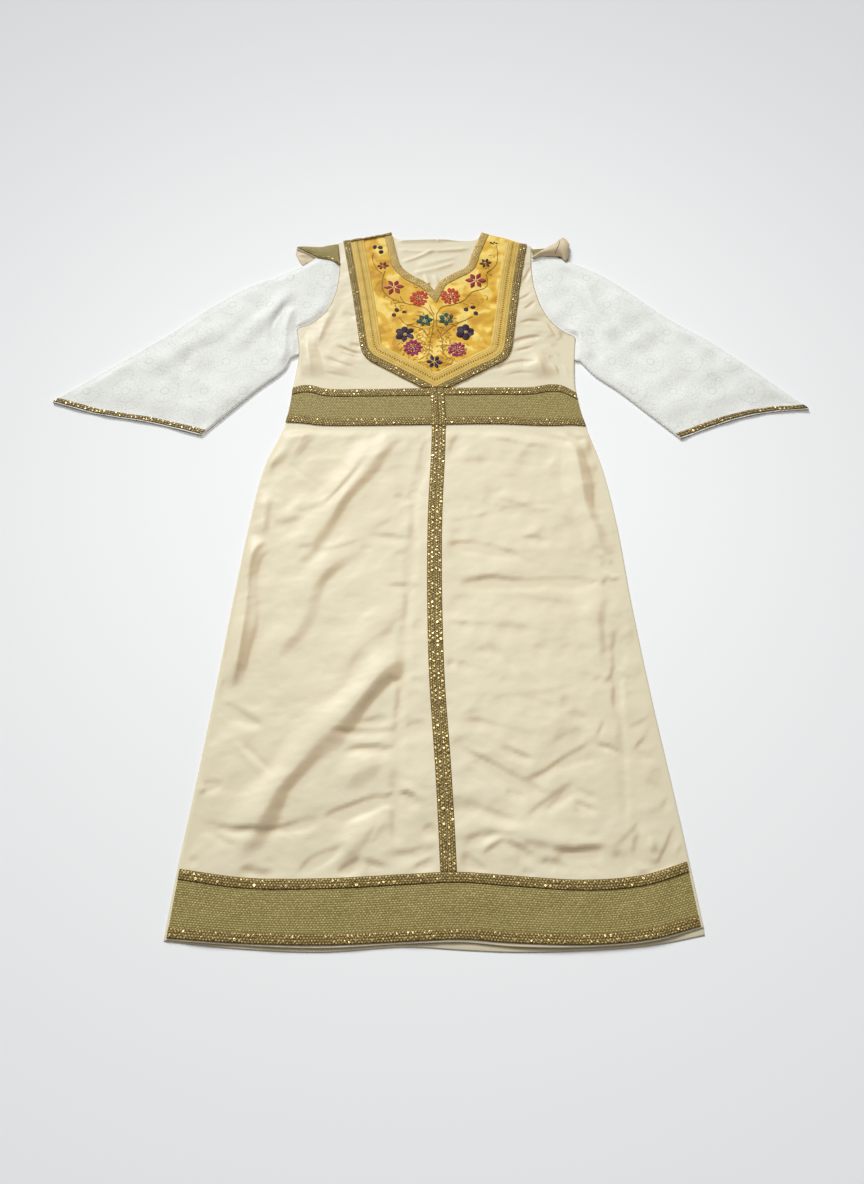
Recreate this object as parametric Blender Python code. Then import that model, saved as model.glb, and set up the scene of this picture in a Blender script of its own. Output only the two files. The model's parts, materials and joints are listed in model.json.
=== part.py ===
"""A long dress with lace sleeves, a V-necked chest panel, a waist band and a hem band, laid out flat.

Metres, +Z up. The dress lies on its back with its hem towards -Y and its neck towards +Y. The tables
below measure from the middle of the hem. The last step moves everything so that the origin is under
the middle of the dress's box.
"""

import math
from collections import namedtuple

import bmesh
import bpy
import numpy as np

CLOTH = 0.0015  # wall of the satin and of the lace
BRAID = 0.0012  # thickness of braid and brocade
SEAM = 0.0003  # gap between two pieces that are sewn together

BACK_TOP = CLOTH
FRONT_LOW = BACK_TOP + SEAM
FRONT_TOP = FRONT_LOW + CLOTH
PANEL_LOW = FRONT_TOP + SEAM
PANEL_TOP = PANEL_LOW + BRAID
OVER_LOW = PANEL_TOP + SEAM
OVER_TOP = OVER_LOW + BRAID
STRIP_TOP = OVER_TOP + SEAM + BRAID
SHARP = 40  # degrees between faces from which an edge stays sharp

# Body edges, measured up from the hem: distances of the left and right side from the middle line.
Side = namedtuple("Side", "up left right")
SIDES = (
    Side(-0.015, 0.391, 0.385),
    Side(0.100, 0.380, 0.371),
    Side(0.214, 0.366, 0.356),
    Side(0.358, 0.350, 0.336),
    Side(0.517, 0.334, 0.317),
    Side(0.674, 0.316, 0.302),
    Side(0.780, 0.299, 0.285),
    Side(0.867, 0.268, 0.261),
    Side(0.905, 0.262, 0.253),
    Side(0.950, 0.258, 0.248),
    Side(1.020, 0.252, 0.2515),
    Side(1.090, 0.262, 0.2585),
)

# The middle line wanders to one side and back where the cloth isn't quite straight.
Middle = namedtuple("Middle", "up across")
MIDDLE = (
    Middle(-0.015, 0.020),
    Middle(0.104, 0.0165),
    Middle(0.255, 0.009),
    Middle(0.390, 0.000),
    Middle(0.540, -0.004),
    Middle(0.674, -0.0035),
    Middle(0.863, 0.003),
    Middle(0.941, 0.000),
    Middle(1.160, -0.005),
)

# Heights above the hem line at places across the skirt, -1 at the left side and 1 at the right.
Hem = namedtuple("Hem", "place back_edge front_edge band_low band_high")
HEMS = (
    Hem(-1.00, 0.002, 0.004, 0.009, 0.102),
    Hem(-0.75, -0.008, -0.003, 0.001, 0.089),
    Hem(-0.45, -0.013, -0.008, 0.000, 0.088),
    Hem(-0.15, -0.006, -0.002, 0.004, 0.094),
    Hem(0.04, -0.010, -0.004, 0.010, 0.097),
    Hem(0.25, -0.013, -0.008, 0.002, 0.092),
    Hem(0.57, -0.010, -0.006, -0.001, 0.086),
    Hem(0.80, -0.003, 0.002, 0.008, 0.093),
    Hem(1.00, 0.010, 0.016, 0.025, 0.113),
)

# The waist band's edges at places across it. Its upper edge rises in a hump near each end.
Waist = namedtuple("Waist", "place low high")
WAISTS = (
    Waist(-1.00, 0.869, 0.9420),
    Waist(-0.93, 0.868, 0.9470),
    Waist(-0.86, 0.866, 0.9460),
    Waist(-0.78, 0.863, 0.9400),
    Waist(-0.50, 0.862, 0.9385),
    Waist(0.00, 0.864, 0.9405),
    Waist(0.45, 0.865, 0.9420),
    Waist(0.70, 0.862, 0.9430),
    Waist(0.82, 0.862, 0.9485),
    Waist(0.91, 0.863, 0.9460),
    Waist(1.00, 0.861, 0.9310),
)
FOOT = 0.020  # ridges die away over this distance to a side seam or to the waist band
WAIST_SEAM = 0.905
WAIST_CLEAR = (0.855, 0.957)  # the cloth under the band lies flat between these heights
BAND_BRAID = 0.015  # width of the braids on the waist and hem bands
STRIP = 0.0120  # width of each row of braid down the middle
STRIP_CLIMB = 0.006  # run over which those rows climb onto the waist band
BAND_IN = 0.011  # share of the skirt's half width outside the hem band's ends
SKIRT_SHARES, SKIRT_ROWS, WAIST_COLUMNS, BACK_PLACES = 15, 31, 41, 25  # how finely each is divided

# Corners of the bodice, as (across, up).
UNDERARM_LEFT, UNDERARM_RIGHT = (-0.261, 1.076), (0.257, 1.056)
SHOULDER_LEFT, SHOULDER_RIGHT = (-0.190, 1.276), (0.181, 1.266)
ARMHOLE_LEFT_HANDLES = ((-0.196, 1.084), (-0.176, 1.165))
ARMHOLE_RIGHT_HANDLES = ((0.203, 1.068), (0.172, 1.145))
NECK_LEFT = ((-0.088, 1.299), (-0.078, 1.250), (-0.071, 1.222), (-0.052, 1.198), (-0.018, 1.174))
NECK_RIGHT = ((0.086, 1.299), (0.068, 1.250), (0.055, 1.214), (0.033, 1.200), (0.004, 1.178))
NECK_POINT = (-0.005, 1.158)
BACK_NECK = ((-0.070, 1.288), (0.000, 1.286), (0.068, 1.285))
NECK_BRAID = 0.015

# The chest panel's outline from its left shoulder down to its point and up to its right shoulder. A
# rounded corner starts that far from where its edges would meet. The point is cut off above the waist band.
Corner = namedtuple("Corner", "across up rounding")
CHEST = (
    Corner(-0.1805, 1.2780, 0.000),
    Corner(-0.1600, 1.1600, 0.030),
    Corner(-0.1370, 1.0080, 0.026),
    Corner(-0.0030, 0.9270, 0.000),
    Corner(0.1340, 1.0050, 0.026),
    Corner(0.1580, 1.1850, 0.030),
    Corner(0.1725, 1.2685, 0.000),
)
CHEST_POINT = 3  # which of them is the point
CHEST_FOOT = 0.9418
CHEST_BORDER = 0.013
CHEST_BRAID = 0.026
SHARPEST = 0.002  # a rounded corner never starts nearer than this to where its edges would meet
ROUND_POINTS, NECK_POINTS = 5, 12
SHOULDER_BRAID = 0.005
SHOULDER_ENDS = 0.0035  # this braid stops short of the braids at its two ends

# Each sleeve in the flat: its line just past the shoulder cap, its upper and lower edges from there to
# the cuff, the cuff from the upper edge to the lower one, and the heights down the body's side where the
# sleeve still lies against it.
Sleeve = namedtuple("Sleeve", "cap upper lower cuff seam")
SLEEVE_LEFT = Sleeve(
    cap=((-0.252, 1.221), (-0.270, 1.160), (-0.2755, 1.100), (-0.273, 1.050), (-0.2670, 1.006)),
    upper=((-0.252, 1.221), (-0.304, 1.192), (-0.355, 1.168), (-0.423, 1.119), (-0.488, 1.063),
           (-0.686, 0.912)),
    lower=((-0.2670, 1.006), (-0.275, 0.984), (-0.3195, 0.941), (-0.366, 0.893), (-0.414, 0.843)),
    cuff=((-0.686, 0.912), (-0.606, 0.888), (-0.502, 0.868), (-0.414, 0.843)),
    seam=(1.056, 1.036, 1.016),
)
SLEEVE_RIGHT = Sleeve(
    cap=((0.248, 1.231), (0.264, 1.155), (0.271, 1.085), (0.267, 1.035), (0.2605, 1.000)),
    upper=((0.248, 1.231), (0.305, 1.201), (0.357, 1.160), (0.430, 1.094), (0.497, 1.046), (0.662, 0.897)),
    lower=((0.2605, 1.000), (0.284, 0.970), (0.3235, 0.937), (0.372, 0.890), (0.427, 0.836)),
    cuff=((0.662, 0.897), (0.597, 0.892), (0.548, 0.882), (0.491, 0.863), (0.427, 0.836)),
    seam=(1.037, 1.019, 1.002),
)
HEAD_GAP = 0.0010  # from the armhole's edge to the sleeve's
CAP_SPREAD = 1.7  # how the shoulder cap's points crowd towards its upper end
SLEEVE_FOLD = 0.0042  # height of the flattened tube where it is folded over at its edges
SIDE_POINTS, ARM_POINTS, BODICE_COLUMNS, CAP_ROWS, SLEEVE_ROWS = 7, 13, 11, 4, 12
FOLD_ANGLES = (-60, 0, 60)  # where the rounded fold at a sleeve's edge has its points
CUFF_BRAID = 0.011
CUFF_EDGE = 0.0022  # the lace shows this far past the braid
CUFF_INSET = 0.0020  # from each folded edge of the sleeve to the braid's end

# Soft ridges of the cloth, each from one end to the other, across and up. Width is from foot to foot.
Ridge = namedtuple("Ridge", "start end width height")
SKIRT_RIDGES = (
    Ridge((-0.070, 0.825), (-0.205, 0.650), 0.075, 0.0060),
    Ridge((-0.120, 0.640), (-0.235, 0.470), 0.080, 0.0075),
    Ridge((-0.085, 0.400), (-0.190, 0.285), 0.070, 0.0090),
    Ridge((-0.180, 0.295), (-0.300, 0.130), 0.080, 0.0100),
    Ridge((-0.285, 0.800), (-0.295, 0.640), 0.050, 0.0070),
    Ridge((-0.300, 0.620), (-0.322, 0.390), 0.060, 0.0080),
    Ridge((-0.350, 0.325), (-0.255, 0.240), 0.060, 0.0070),
    Ridge((-0.360, 0.175), (-0.250, 0.155), 0.050, 0.0060),
    Ridge((-0.035, 0.800), (-0.050, 0.560), 0.050, 0.0035),
    Ridge((-0.055, 0.420), (-0.062, 0.160), 0.055, 0.0050),
    Ridge((-0.185, 0.180), (-0.060, 0.215), 0.045, 0.0050),
    Ridge((0.225, 0.830), (0.262, 0.700), 0.050, 0.0060),
    Ridge((0.262, 0.690), (0.286, 0.610), 0.055, 0.0085),
    Ridge((0.275, 0.580), (0.285, 0.350), 0.060, 0.0080),
    Ridge((0.285, 0.360), (0.297, 0.200), 0.060, 0.0070),
    Ridge((0.060, 0.640), (0.250, 0.610), 0.060, 0.0055),
    Ridge((0.090, 0.735), (0.230, 0.690), 0.060, 0.0050),
    Ridge((0.050, 0.480), (0.200, 0.440), 0.080, 0.0045),
    Ridge((0.040, 0.290), (0.165, 0.205), 0.065, 0.0080),
    Ridge((0.120, 0.225), (0.225, 0.305), 0.060, 0.0070),
    Ridge((0.240, 0.290), (0.335, 0.305), 0.055, 0.0065),
    Ridge((0.180, 0.140), (0.330, 0.140), 0.050, 0.0060),
    Ridge((-0.210, -0.020), (-0.190, 0.090), 0.110, 0.0030),
    Ridge((0.010, -0.020), (0.018, 0.100), 0.100, 0.0040),
    Ridge((0.250, -0.010), (0.262, 0.085), 0.120, 0.0030),
)
BODICE_RIDGES = (
    Ridge((-0.232, 1.060), (-0.180, 0.985), 0.045, 0.0035),
    Ridge((-0.230, 0.998), (-0.160, 0.978), 0.035, 0.0030),
    Ridge((0.232, 1.045), (0.185, 0.985), 0.045, 0.0035),
    Ridge((0.222, 0.998), (0.160, 0.978), 0.035, 0.0030),
)
SLEEVE_LEFT_RIDGES = (
    Ridge((-0.235, 1.165), (-0.330, 1.080), 0.060, 0.0060),
    Ridge((-0.290, 1.150), (-0.450, 1.030), 0.070, 0.0050),
    Ridge((-0.330, 1.010), (-0.420, 0.920), 0.060, 0.0045),
    Ridge((-0.500, 1.000), (-0.580, 0.930), 0.070, 0.0040),
)
SLEEVE_RIGHT_RIDGES = (
    Ridge((0.225, 1.190), (0.320, 1.120), 0.060, 0.0060),
    Ridge((0.250, 1.110), (0.390, 0.990), 0.070, 0.0050),
    Ridge((0.400, 1.080), (0.520, 0.970), 0.070, 0.0045),
    Ridge((0.450, 0.950), (0.520, 0.900), 0.060, 0.0040),
)

# The wings in the flat. Each piece lies between two edges that run from its root to its tip.
WING_LEFT_FOLD = (
    (-0.1917, 1.2718), (-0.2047, 1.2691), (-0.2207, 1.2665), (-0.2367, 1.2675), (-0.2567, 1.2684),
    (-0.2655, 1.2679), (-0.2695, 1.2651),
)
WING_LEFT_FREE = (
    (-0.1850, 1.2204), (-0.1949, 1.2274), (-0.2072, 1.2335), (-0.2191, 1.2357), (-0.2271, 1.2386),
    (-0.2396, 1.2467), (-0.2518, 1.2538), (-0.2645, 1.2614), (-0.2687, 1.2638),
)
LINING_LEFT_HIGH = (
    (-0.2060, 1.2680), (-0.2207, 1.2665), (-0.2367, 1.2675), (-0.2567, 1.2684), (-0.2695, 1.2651),
)
LINING_LEFT_LOW = (
    (-0.2060, 1.2665), (-0.2280, 1.2445), (-0.2562, 1.2232), (-0.2645, 1.2356), (-0.2712, 1.2508),
    (-0.2713, 1.2589),
)
LINING_RIGHT_HIGH = (
    (0.1800, 1.2365), (0.1984, 1.2510), (0.2131, 1.2620), (0.2303, 1.2730), (0.2390, 1.2815),
    (0.2420, 1.2850), (0.2474, 1.2821), (0.2520, 1.2747), (0.2540, 1.2680),
)
LINING_RIGHT_LOW = (
    (0.1821, 1.2358), (0.1888, 1.2358), (0.1980, 1.2407), (0.2270, 1.2407), (0.2369, 1.2402),
    (0.2418, 1.2317), (0.2454, 1.2284), (0.2489, 1.2332), (0.2514, 1.2415), (0.2533, 1.2590),
)
WING_RIGHT_BACK = (
    (0.1815, 1.2587), (0.1939, 1.2599), (0.2065, 1.2609), (0.2200, 1.2680), (0.2314, 1.2760),
    (0.2352, 1.2825), (0.2412, 1.2860), (0.2470, 1.2815), (0.2510, 1.2745),
)
WING_RIGHT_LOW = (
    (0.1835, 1.2380), (0.1980, 1.2420), (0.2270, 1.2420), (0.2369, 1.2415), (0.2460, 1.2270),
    (0.2500, 1.2330), (0.2515, 1.2600),
)
WING_PUFFS = (0.0035, 0.0080)  # how far the left wing and the right one stand up between their edges
WING_COLUMNS, WING_ROWS = 15, 5
WING_DROP = (0.20, 0.50)  # along the left wing, where its fold starts to drop and where it lies down

COLOURS = {
    "satin": ((0.80, 0.73, 0.58), 0.45, 0.0),
    "lace": ((0.86, 0.87, 0.85), 0.80, 0.0),
    "velvet": ((0.68, 0.44, 0.06), 0.50, 0.0),
    "pale_braid": ((0.66, 0.50, 0.18), 0.45, 0.2),
    "olive_braid": ((0.20, 0.15, 0.05), 0.45, 0.3),
    "neck_braid": ((0.38, 0.30, 0.14), 0.55, 0.2),
    "brocade": ((0.28, 0.23, 0.09), 0.55, 0.2),
}


def clear_scene():
    for thing in list(bpy.data.objects):
        bpy.data.objects.remove(thing, do_unlink=True)


def material(name):
    found = bpy.data.materials.get(name)
    if found:
        return found
    colour, roughness, metallic = COLOURS[name]
    made = bpy.data.materials.new(name)
    made.use_nodes = True
    shader = made.node_tree.nodes["Principled BSDF"]
    shader.inputs["Base Color"].default_value = (*colour, 1.0)
    shader.inputs["Roughness"].default_value = roughness
    shader.inputs["Metallic"].default_value = metallic
    return made


def add_piece(name, points, faces, finish):
    """A closed mesh of triangles as its own object, turned inside out first if it would face inwards."""
    corners = np.asarray(points, float)[np.asarray(faces)]
    if np.linalg.det(corners).sum() < 0:
        faces = [face[::-1] for face in faces]
    mesh = bpy.data.meshes.new(name)
    mesh.from_pydata([tuple(p) for p in points], [], [tuple(f) for f in faces])
    mesh.shade_smooth()
    mesh.set_sharp_from_angle(angle=math.radians(SHARP))
    piece = bpy.data.objects.new(name, mesh)
    piece.data.materials.append(material(finish))
    bpy.context.scene.collection.objects.link(piece)
    return piece


def hermite(knots, values, at):
    """A smooth curve through values at rising knots, read at each place in at."""
    knots, values, at = np.asarray(knots, float), np.asarray(values, float), np.asarray(at, float)
    steps = np.diff(knots)
    slopes = np.diff(values, axis=0) / steps.reshape(-1, *[1] * (values.ndim - 1))
    tangents = np.concatenate([slopes[:1], (slopes[:-1] + slopes[1:]) / 2, slopes[-1:]])
    i = np.clip(np.searchsorted(knots, at, side="right") - 1, 0, len(steps) - 1)
    t = np.clip((at - knots[i]) / steps[i], 0, 1)
    h = steps[i]
    if values.ndim > 1:
        t, h = t[..., None], h[..., None]
    return (
        (2 * t**3 - 3 * t**2 + 1) * values[i]
        + (t**3 - 2 * t**2 + t) * h * tangents[i]
        + (3 * t**2 - 2 * t**3) * values[i + 1]
        + (t**3 - t**2) * h * tangents[i + 1]
    )


def path(points, fractions):
    """Points at fractions of the length of a smooth curve through the given points."""
    points = np.asarray(points, float)
    lengths = np.concatenate([[0], np.cumsum(np.linalg.norm(np.diff(points, axis=0), axis=1))])
    return hermite(lengths / lengths[-1], points, fractions)


def straight(points, fractions):
    """Points at fractions of the length of the straight runs between the given points."""
    points = np.asarray(points, float)
    lengths = np.concatenate([[0], np.cumsum(np.linalg.norm(np.diff(points, axis=0), axis=1))])
    at = np.asarray(fractions) * lengths[-1]
    return np.stack([np.interp(at, lengths, points[:, k]) for k in (0, 1)], axis=-1)


def bezier(start, first, second, end, count):
    t = np.linspace(0, 1, count)[:, None]
    start, first, second, end = map(np.asarray, (start, first, second, end))
    return (1 - t) ** 3 * start + 3 * (1 - t) ** 2 * t * first + 3 * (1 - t) * t**2 * second + t**3 * end


def side(up, right):
    """How far the body's side lies across at a height above the hem, negative on the left."""
    across = [row.right if right else -row.left for row in SIDES]
    return hermite([row.up for row in SIDES], across, up)


def middle(up):
    return hermite([row.up for row in MIDDLE], [row.across for row in MIDDLE], up)


def waist_edge(field, place):
    return hermite([row.place for row in WAISTS], [getattr(row, field) for row in WAISTS], place)


def hem_height(field, place):
    return hermite([row.place for row in HEMS], [getattr(row, field) for row in HEMS], place)


def lift(ridges, across, up):
    """Height of the soft ridges at a place. Each fades out at its feet and at both ends."""
    total = np.zeros(np.broadcast(across, up).shape)
    for ridge in ridges:
        start, end = np.asarray(ridge.start), np.asarray(ridge.end)
        length = float(np.linalg.norm(end - start))
        along = (end - start) / length
        run = (across - start[0]) * along[0] + (up - start[1]) * along[1]
        off = (across - start[0]) * along[1] - (up - start[1]) * along[0]
        past = np.maximum(np.maximum(-run, run - length), 0)
        reach = np.hypot(off, past) / (ridge.width / 2)
        total = np.maximum(total, ridge.height * np.cos(np.clip(reach, 0, 1) * math.pi / 2) ** 2)
    return total


def grid_faces(rows, columns, low_start):
    """Triangles of a slab: its top grid, its bottom grid from low_start on, and its four edges."""
    faces = []

    def corner(row, column, low):
        return row * columns + column + (low_start if low else 0)

    for r in range(rows - 1):
        for c in range(columns - 1):
            a, b = corner(r, c, False), corner(r, c + 1, False)
            d, e = corner(r + 1, c, False), corner(r + 1, c + 1, False)
            faces += [(a, b, e), (a, e, d)]
            faces += [tuple(low_start + i for i in face[::-1]) for face in ((a, b, e), (a, e, d))]
    rim = [(0, c) for c in range(columns - 1)]
    rim += [(r, columns - 1) for r in range(rows - 1)]
    rim += [(rows - 1, c) for c in range(columns - 1, 0, -1)]
    rim += [(r, 0) for r in range(rows - 1, 0, -1)]
    for (r, c), (s, d) in zip(rim, rim[1:] + rim[:1]):
        a, b, low_a, low_b = corner(r, c, False), corner(s, d, False), corner(r, c, True), corner(s, d, True)
        faces += [(a, low_a, low_b), (a, low_b, b)]
    return faces


def slab(name, plan, top, wall, finish):
    """A sheet over a grid of plan points (rows, columns, 2), columns to the right and rows upwards."""
    rows, columns = plan.shape[:2]
    top = np.broadcast_to(top, (rows, columns))
    high = np.concatenate([plan, top[..., None]], axis=2).reshape(-1, 3)
    low = high - (0, 0, wall)
    return add_piece(name, np.concatenate([high, low]), grid_faces(rows, columns, len(high)), finish)


def flat_piece(name, outline, low, high, finish):
    """A flat sheet cut to an outline that turns left."""
    bm = bmesh.new()
    for z in (low, high):
        ring = [bm.verts.new((x, y, z)) for x, y in outline]
        bm.faces.new(ring if z == high else ring[::-1])
    bm.verts.ensure_lookup_table()
    count = len(outline)
    for i in range(count):
        j = (i + 1) % count
        bm.faces.new([bm.verts[k] for k in (i, j, count + j, count + i)])
    bm.normal_update()
    bmesh.ops.triangulate(bm, faces=bm.faces[:])
    points = [tuple(v.co) for v in bm.verts]
    faces = [[v.index for v in f.verts] for f in bm.faces]
    bm.free()
    return add_piece(name, points, faces, finish)


def offset(line, distance):
    """A line moved to its left by a distance, with mitred corners."""
    line = np.asarray(line, float)
    runs = np.diff(line, axis=0)
    runs /= np.linalg.norm(runs, axis=1)[:, None]
    normals = np.stack([-runs[:, 1], runs[:, 0]], axis=1)
    before = np.concatenate([normals[:1], normals])
    after = np.concatenate([normals, normals[-1:]])
    mitre = before + after
    mitre /= (mitre * before).sum(axis=1)[:, None]
    return line + mitre * distance


def arc(start, corner, end, count):
    """A short curve from start to end that leaves and arrives towards the corner."""
    t = np.linspace(0, 1, count)[:, None]
    return (1 - t) ** 2 * start + 2 * t * (1 - t) * corner + t**2 * end


def skirt_columns():
    """Places across the skirt, and how far each lies from the middle line: the braid's edges, then shares
    of what is left to the side."""
    shares = np.concatenate([np.linspace(0, 1, SKIRT_SHARES)[1:-1], [1 - BAND_IN, 1]])
    places = [("left", s) for s in shares[::-1]]
    places += [("strip", d) for d in (-STRIP - SEAM, -SEAM / 2, SEAM / 2, STRIP + SEAM)]
    return places + [("right", s) for s in shares]


def across_at(column, up):
    kind, value = column
    centre = middle(up)
    if kind == "strip":
        return centre + value
    edge = side(up, kind == "right")
    start = centre + (STRIP + SEAM) * (1 if kind == "right" else -1)
    return start + (edge - start) * value


def place_of(column):
    kind, value = column
    if kind == "strip":
        return value / SIDES[0].left
    return value if kind == "right" else -value


def skirt_plan(columns):
    """Plan points of the front skirt, and the row that lies just above the hem band."""
    places = np.array([place_of(c) for c in columns])
    hem = hem_height("front_edge", places)
    low = hem_height("band_low", places)
    high = hem_height("band_high", places)
    edges = [hem, low, low + BAND_BRAID, low + BAND_BRAID + SEAM]
    middle_band = (low + high) / 2
    edges += [middle_band, high - BAND_BRAID - SEAM, high - BAND_BRAID, high, high + SEAM]
    top = WAIST_CLEAR[0]
    body = [high + SEAM + (top - high - SEAM) * s for s in np.linspace(0, 1, SKIRT_ROWS)[1:]]
    ups = np.array(edges + body + [np.full(len(places), WAIST_SEAM - SEAM / 2)])
    plan = np.empty((*ups.shape, 2))
    for c, column in enumerate(columns):
        plan[:, c, 0] = across_at(column, ups[:, c])
        plan[:, c, 1] = ups[:, c]
    return plan, len(edges) - 1


def settle(plan):
    """Height of the front cloth over the back: the ridges, let down to the back along the side seams."""
    across, up = plan[..., 0], plan[..., 1]
    left, right = across - side(up, False), side(up, True) - across
    waist = np.maximum(WAIST_CLEAR[0] - up, up - WAIST_CLEAR[1])
    inside = np.clip(np.minimum(np.minimum(left, right), waist) / FOOT, 0, 1)
    fade = inside * inside * (3 - 2 * inside)
    return lift(SKIRT_RIDGES + BODICE_RIDGES, across, up) * fade


def braid_rows(plan, rows, columns):
    return plan[rows[0] : rows[1] + 1, columns[0] : columns[1] + 1]


def build_skirt():
    """The front of the skirt, and the bands and braids that share its points."""
    columns = skirt_columns()
    plan, above_band = skirt_plan(columns)
    height = settle(plan)
    slab("front_skirt", plan, FRONT_TOP + height, CLOTH, "satin")

    def lying(name, rows, cols, level, finish):
        part = braid_rows(plan, rows, cols)
        slab(name, part, level + braid_rows(height, rows, cols), BRAID, finish)

    last = len(columns) - 1
    top_row = above_band - 1
    lying("hem_band", (1, top_row), (1, last - 1), PANEL_TOP, "brocade")
    lying("hem_braid_lower", (1, 2), (1, last - 1), OVER_TOP, "olive_braid")
    lying("hem_braid_upper", (top_row - 1, top_row), (1, last - 1), OVER_TOP, "olive_braid")

    # The two rows down the middle run up the skirt, climb onto the waist band and end at its upper edge.
    foot = waist_edge("low", 0) - SEAM
    ups = (foot - STRIP_CLIMB, foot, waist_edge("high", 0) - SEAM)
    strip = next(i for i, c in enumerate(columns) if c[0] == "strip")
    for name, first in (("centre_braid_left", strip), ("centre_braid_right", strip + 2)):
        below = braid_rows(plan, (above_band, len(plan) - 2), (first, first + 1))
        below = below[below[:, 0, 1] < ups[0] - CLOTH]
        rise = braid_rows(height, (above_band, above_band + len(below) - 1), (first, first + 1))
        above = np.array([[(across_at(c, up), up) for c in columns[first : first + 2]] for up in ups])
        levels = [np.full((1, 2), PANEL_TOP), np.full((2, 2), STRIP_TOP)]
        top = np.concatenate([PANEL_TOP + rise, *levels])
        slab(name, np.concatenate([below, above]), top, BRAID, "olive_braid")


def outer_edge(right, count):
    """The bodice's outer edge from the waist seam up the side seam and round the armhole."""
    corner, tip = (UNDERARM_RIGHT, SHOULDER_RIGHT) if right else (UNDERARM_LEFT, SHOULDER_LEFT)
    handles = ARMHOLE_RIGHT_HANDLES if right else ARMHOLE_LEFT_HANDLES
    ups = np.linspace(WAIST_SEAM + SEAM / 2, corner[1], count[0])
    seam = np.stack([side(ups, right), ups], axis=1)
    seam[-1] = corner
    return seam, bezier(corner, *handles, tip, count[1])


def neck_line(count):
    """The neck from the left shoulder down to its point and up to the right shoulder."""
    left = path((*NECK_LEFT, NECK_POINT), np.linspace(0, 1, count))
    right = path((NECK_POINT, *NECK_RIGHT[::-1]), np.linspace(0, 1, count))
    return left, right


def build_bodice():
    side_rows, arm_rows, columns = SIDE_POINTS, ARM_POINTS, BODICE_COLUMNS
    neck_left, neck_right = neck_line(arm_rows - 4)
    halves = []
    for right in (False, True):
        seam, armhole = outer_edge(right, (side_rows, arm_rows))
        outer = np.concatenate([seam, armhole[1:]])
        neck = neck_right if right else neck_left[::-1]
        ups = np.linspace(WAIST_SEAM + SEAM / 2, NECK_POINT[1], side_rows + 4)
        inner = np.concatenate([np.stack([middle(ups), ups], axis=1), neck[1:]])
        inner[side_rows + 3] = NECK_POINT
        shares = np.linspace(0, 1, columns)[:, None]
        rows = np.stack([i + (o - i) * shares for i, o in zip(inner, outer)])
        halves.append(rows if right else rows[:, ::-1])
    left, right = halves
    below = side_rows + 4
    points, faces = [], []

    def number(side_name, row, column):
        if side_name == "right" and column == 0 and row < below:
            side_name, column = "left", columns - 1
        return index[(side_name, row, column)]

    index = {}
    for side_name, rows in (("left", left), ("right", right)):
        for r in range(len(rows)):
            for c in range(columns):
                if side_name == "right" and c == 0 and r < below:
                    continue
                index[(side_name, r, c)] = len(points)
                points.append(rows[r, c])
    plan = np.array(points)
    top = FRONT_TOP + settle(plan)
    count = len(plan)
    for side_name in ("left", "right"):
        for r in range(len(left) - 1):
            for c in range(columns - 1):
                a, b = number(side_name, r, c), number(side_name, r, c + 1)
                d, e = number(side_name, r + 1, c), number(side_name, r + 1, c + 1)
                faces += [(a, b, e), (a, e, d)]
    faces = close_sheet(faces, count)
    high = np.column_stack([plan, top])
    add_piece("front_bodice", np.concatenate([high, high - (0, 0, CLOTH)]), faces, "satin")


def close_sheet(faces, count):
    """The faces of a top sheet, with the same sheet turned over under it and a wall round every open edge."""
    edges = {}
    for face in faces:
        for i in range(3):
            edges[(face[i], face[(i + 1) % 3])] = True
    walls = []
    for a, b in edges:
        if (b, a) not in edges:
            walls += [(a, a + count, b + count), (a, b + count, b)]
    under = [tuple(i + count for i in face[::-1]) for face in faces]
    return list(faces) + under + walls


def build_back():
    """The back lies flat on the table. Its hem shows a little below the front's."""
    places = np.linspace(-1, 1, BACK_PLACES)
    hem_up = hem_height("back_edge", places)
    edge = np.where(places > 0, side(hem_up, True), side(hem_up, False))
    centre = middle(hem_up)
    hem = np.stack([centre + (edge - centre) * abs(places), hem_up], axis=1)
    ups_right = np.linspace(hem_up[-1], WAIST_SEAM - SEAM / 2, BACK_PLACES)[1:]
    ups_left = np.linspace(WAIST_SEAM - SEAM / 2, hem_up[0], BACK_PLACES)[:-1]
    right = np.stack([side(ups_right, True), ups_right], axis=1)
    left = np.stack([side(ups_left, False), ups_left], axis=1)
    flat_piece("back_skirt", np.concatenate([hem, right, left]), 0, BACK_TOP, "satin")

    right_seam, right_arm = outer_edge(True, (SIDE_POINTS, ARM_POINTS))
    left_seam, left_arm = outer_edge(False, (SIDE_POINTS, ARM_POINTS))
    shoulders = (NECK_RIGHT[0], *BACK_NECK[::-1], NECK_LEFT[0])
    outline = np.concatenate([right_seam, right_arm[1:], shoulders, left_arm[::-1], left_seam[-2::-1]])
    flat_piece("back_bodice", outline, 0, BACK_TOP, "satin")


def chest_line(inward):
    """The chest panel's outline moved in by a distance, with its corners rounded and its point cut off."""
    at = offset([corner[:2] for corner in CHEST], inward)
    point = at[CHEST_POINT]
    foot = max(CHEST_FOOT, point[1] + SEAM)
    cuts = []
    for corner in (at[CHEST_POINT - 1], at[CHEST_POINT + 1]):
        cuts.append(point + (corner - point) * (foot - point[1]) / (corner[1] - point[1]))
    line = [at[0]]
    for i in range(1, len(at) - 1):
        if i == CHEST_POINT:
            line += cuts
            continue
        back, on = at[i - 1] - at[i], at[i + 1] - at[i]
        back, on = back / np.linalg.norm(back), on / np.linalg.norm(on)
        turn = math.tan((math.pi - math.acos(back @ on)) / 2)
        reach = max(CHEST[i].rounding - inward * turn, SHARPEST)
        line += list(arc(at[i] + back * reach, at[i], at[i] + on * reach, ROUND_POINTS))
    return np.array(line + [at[-1]])


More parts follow.
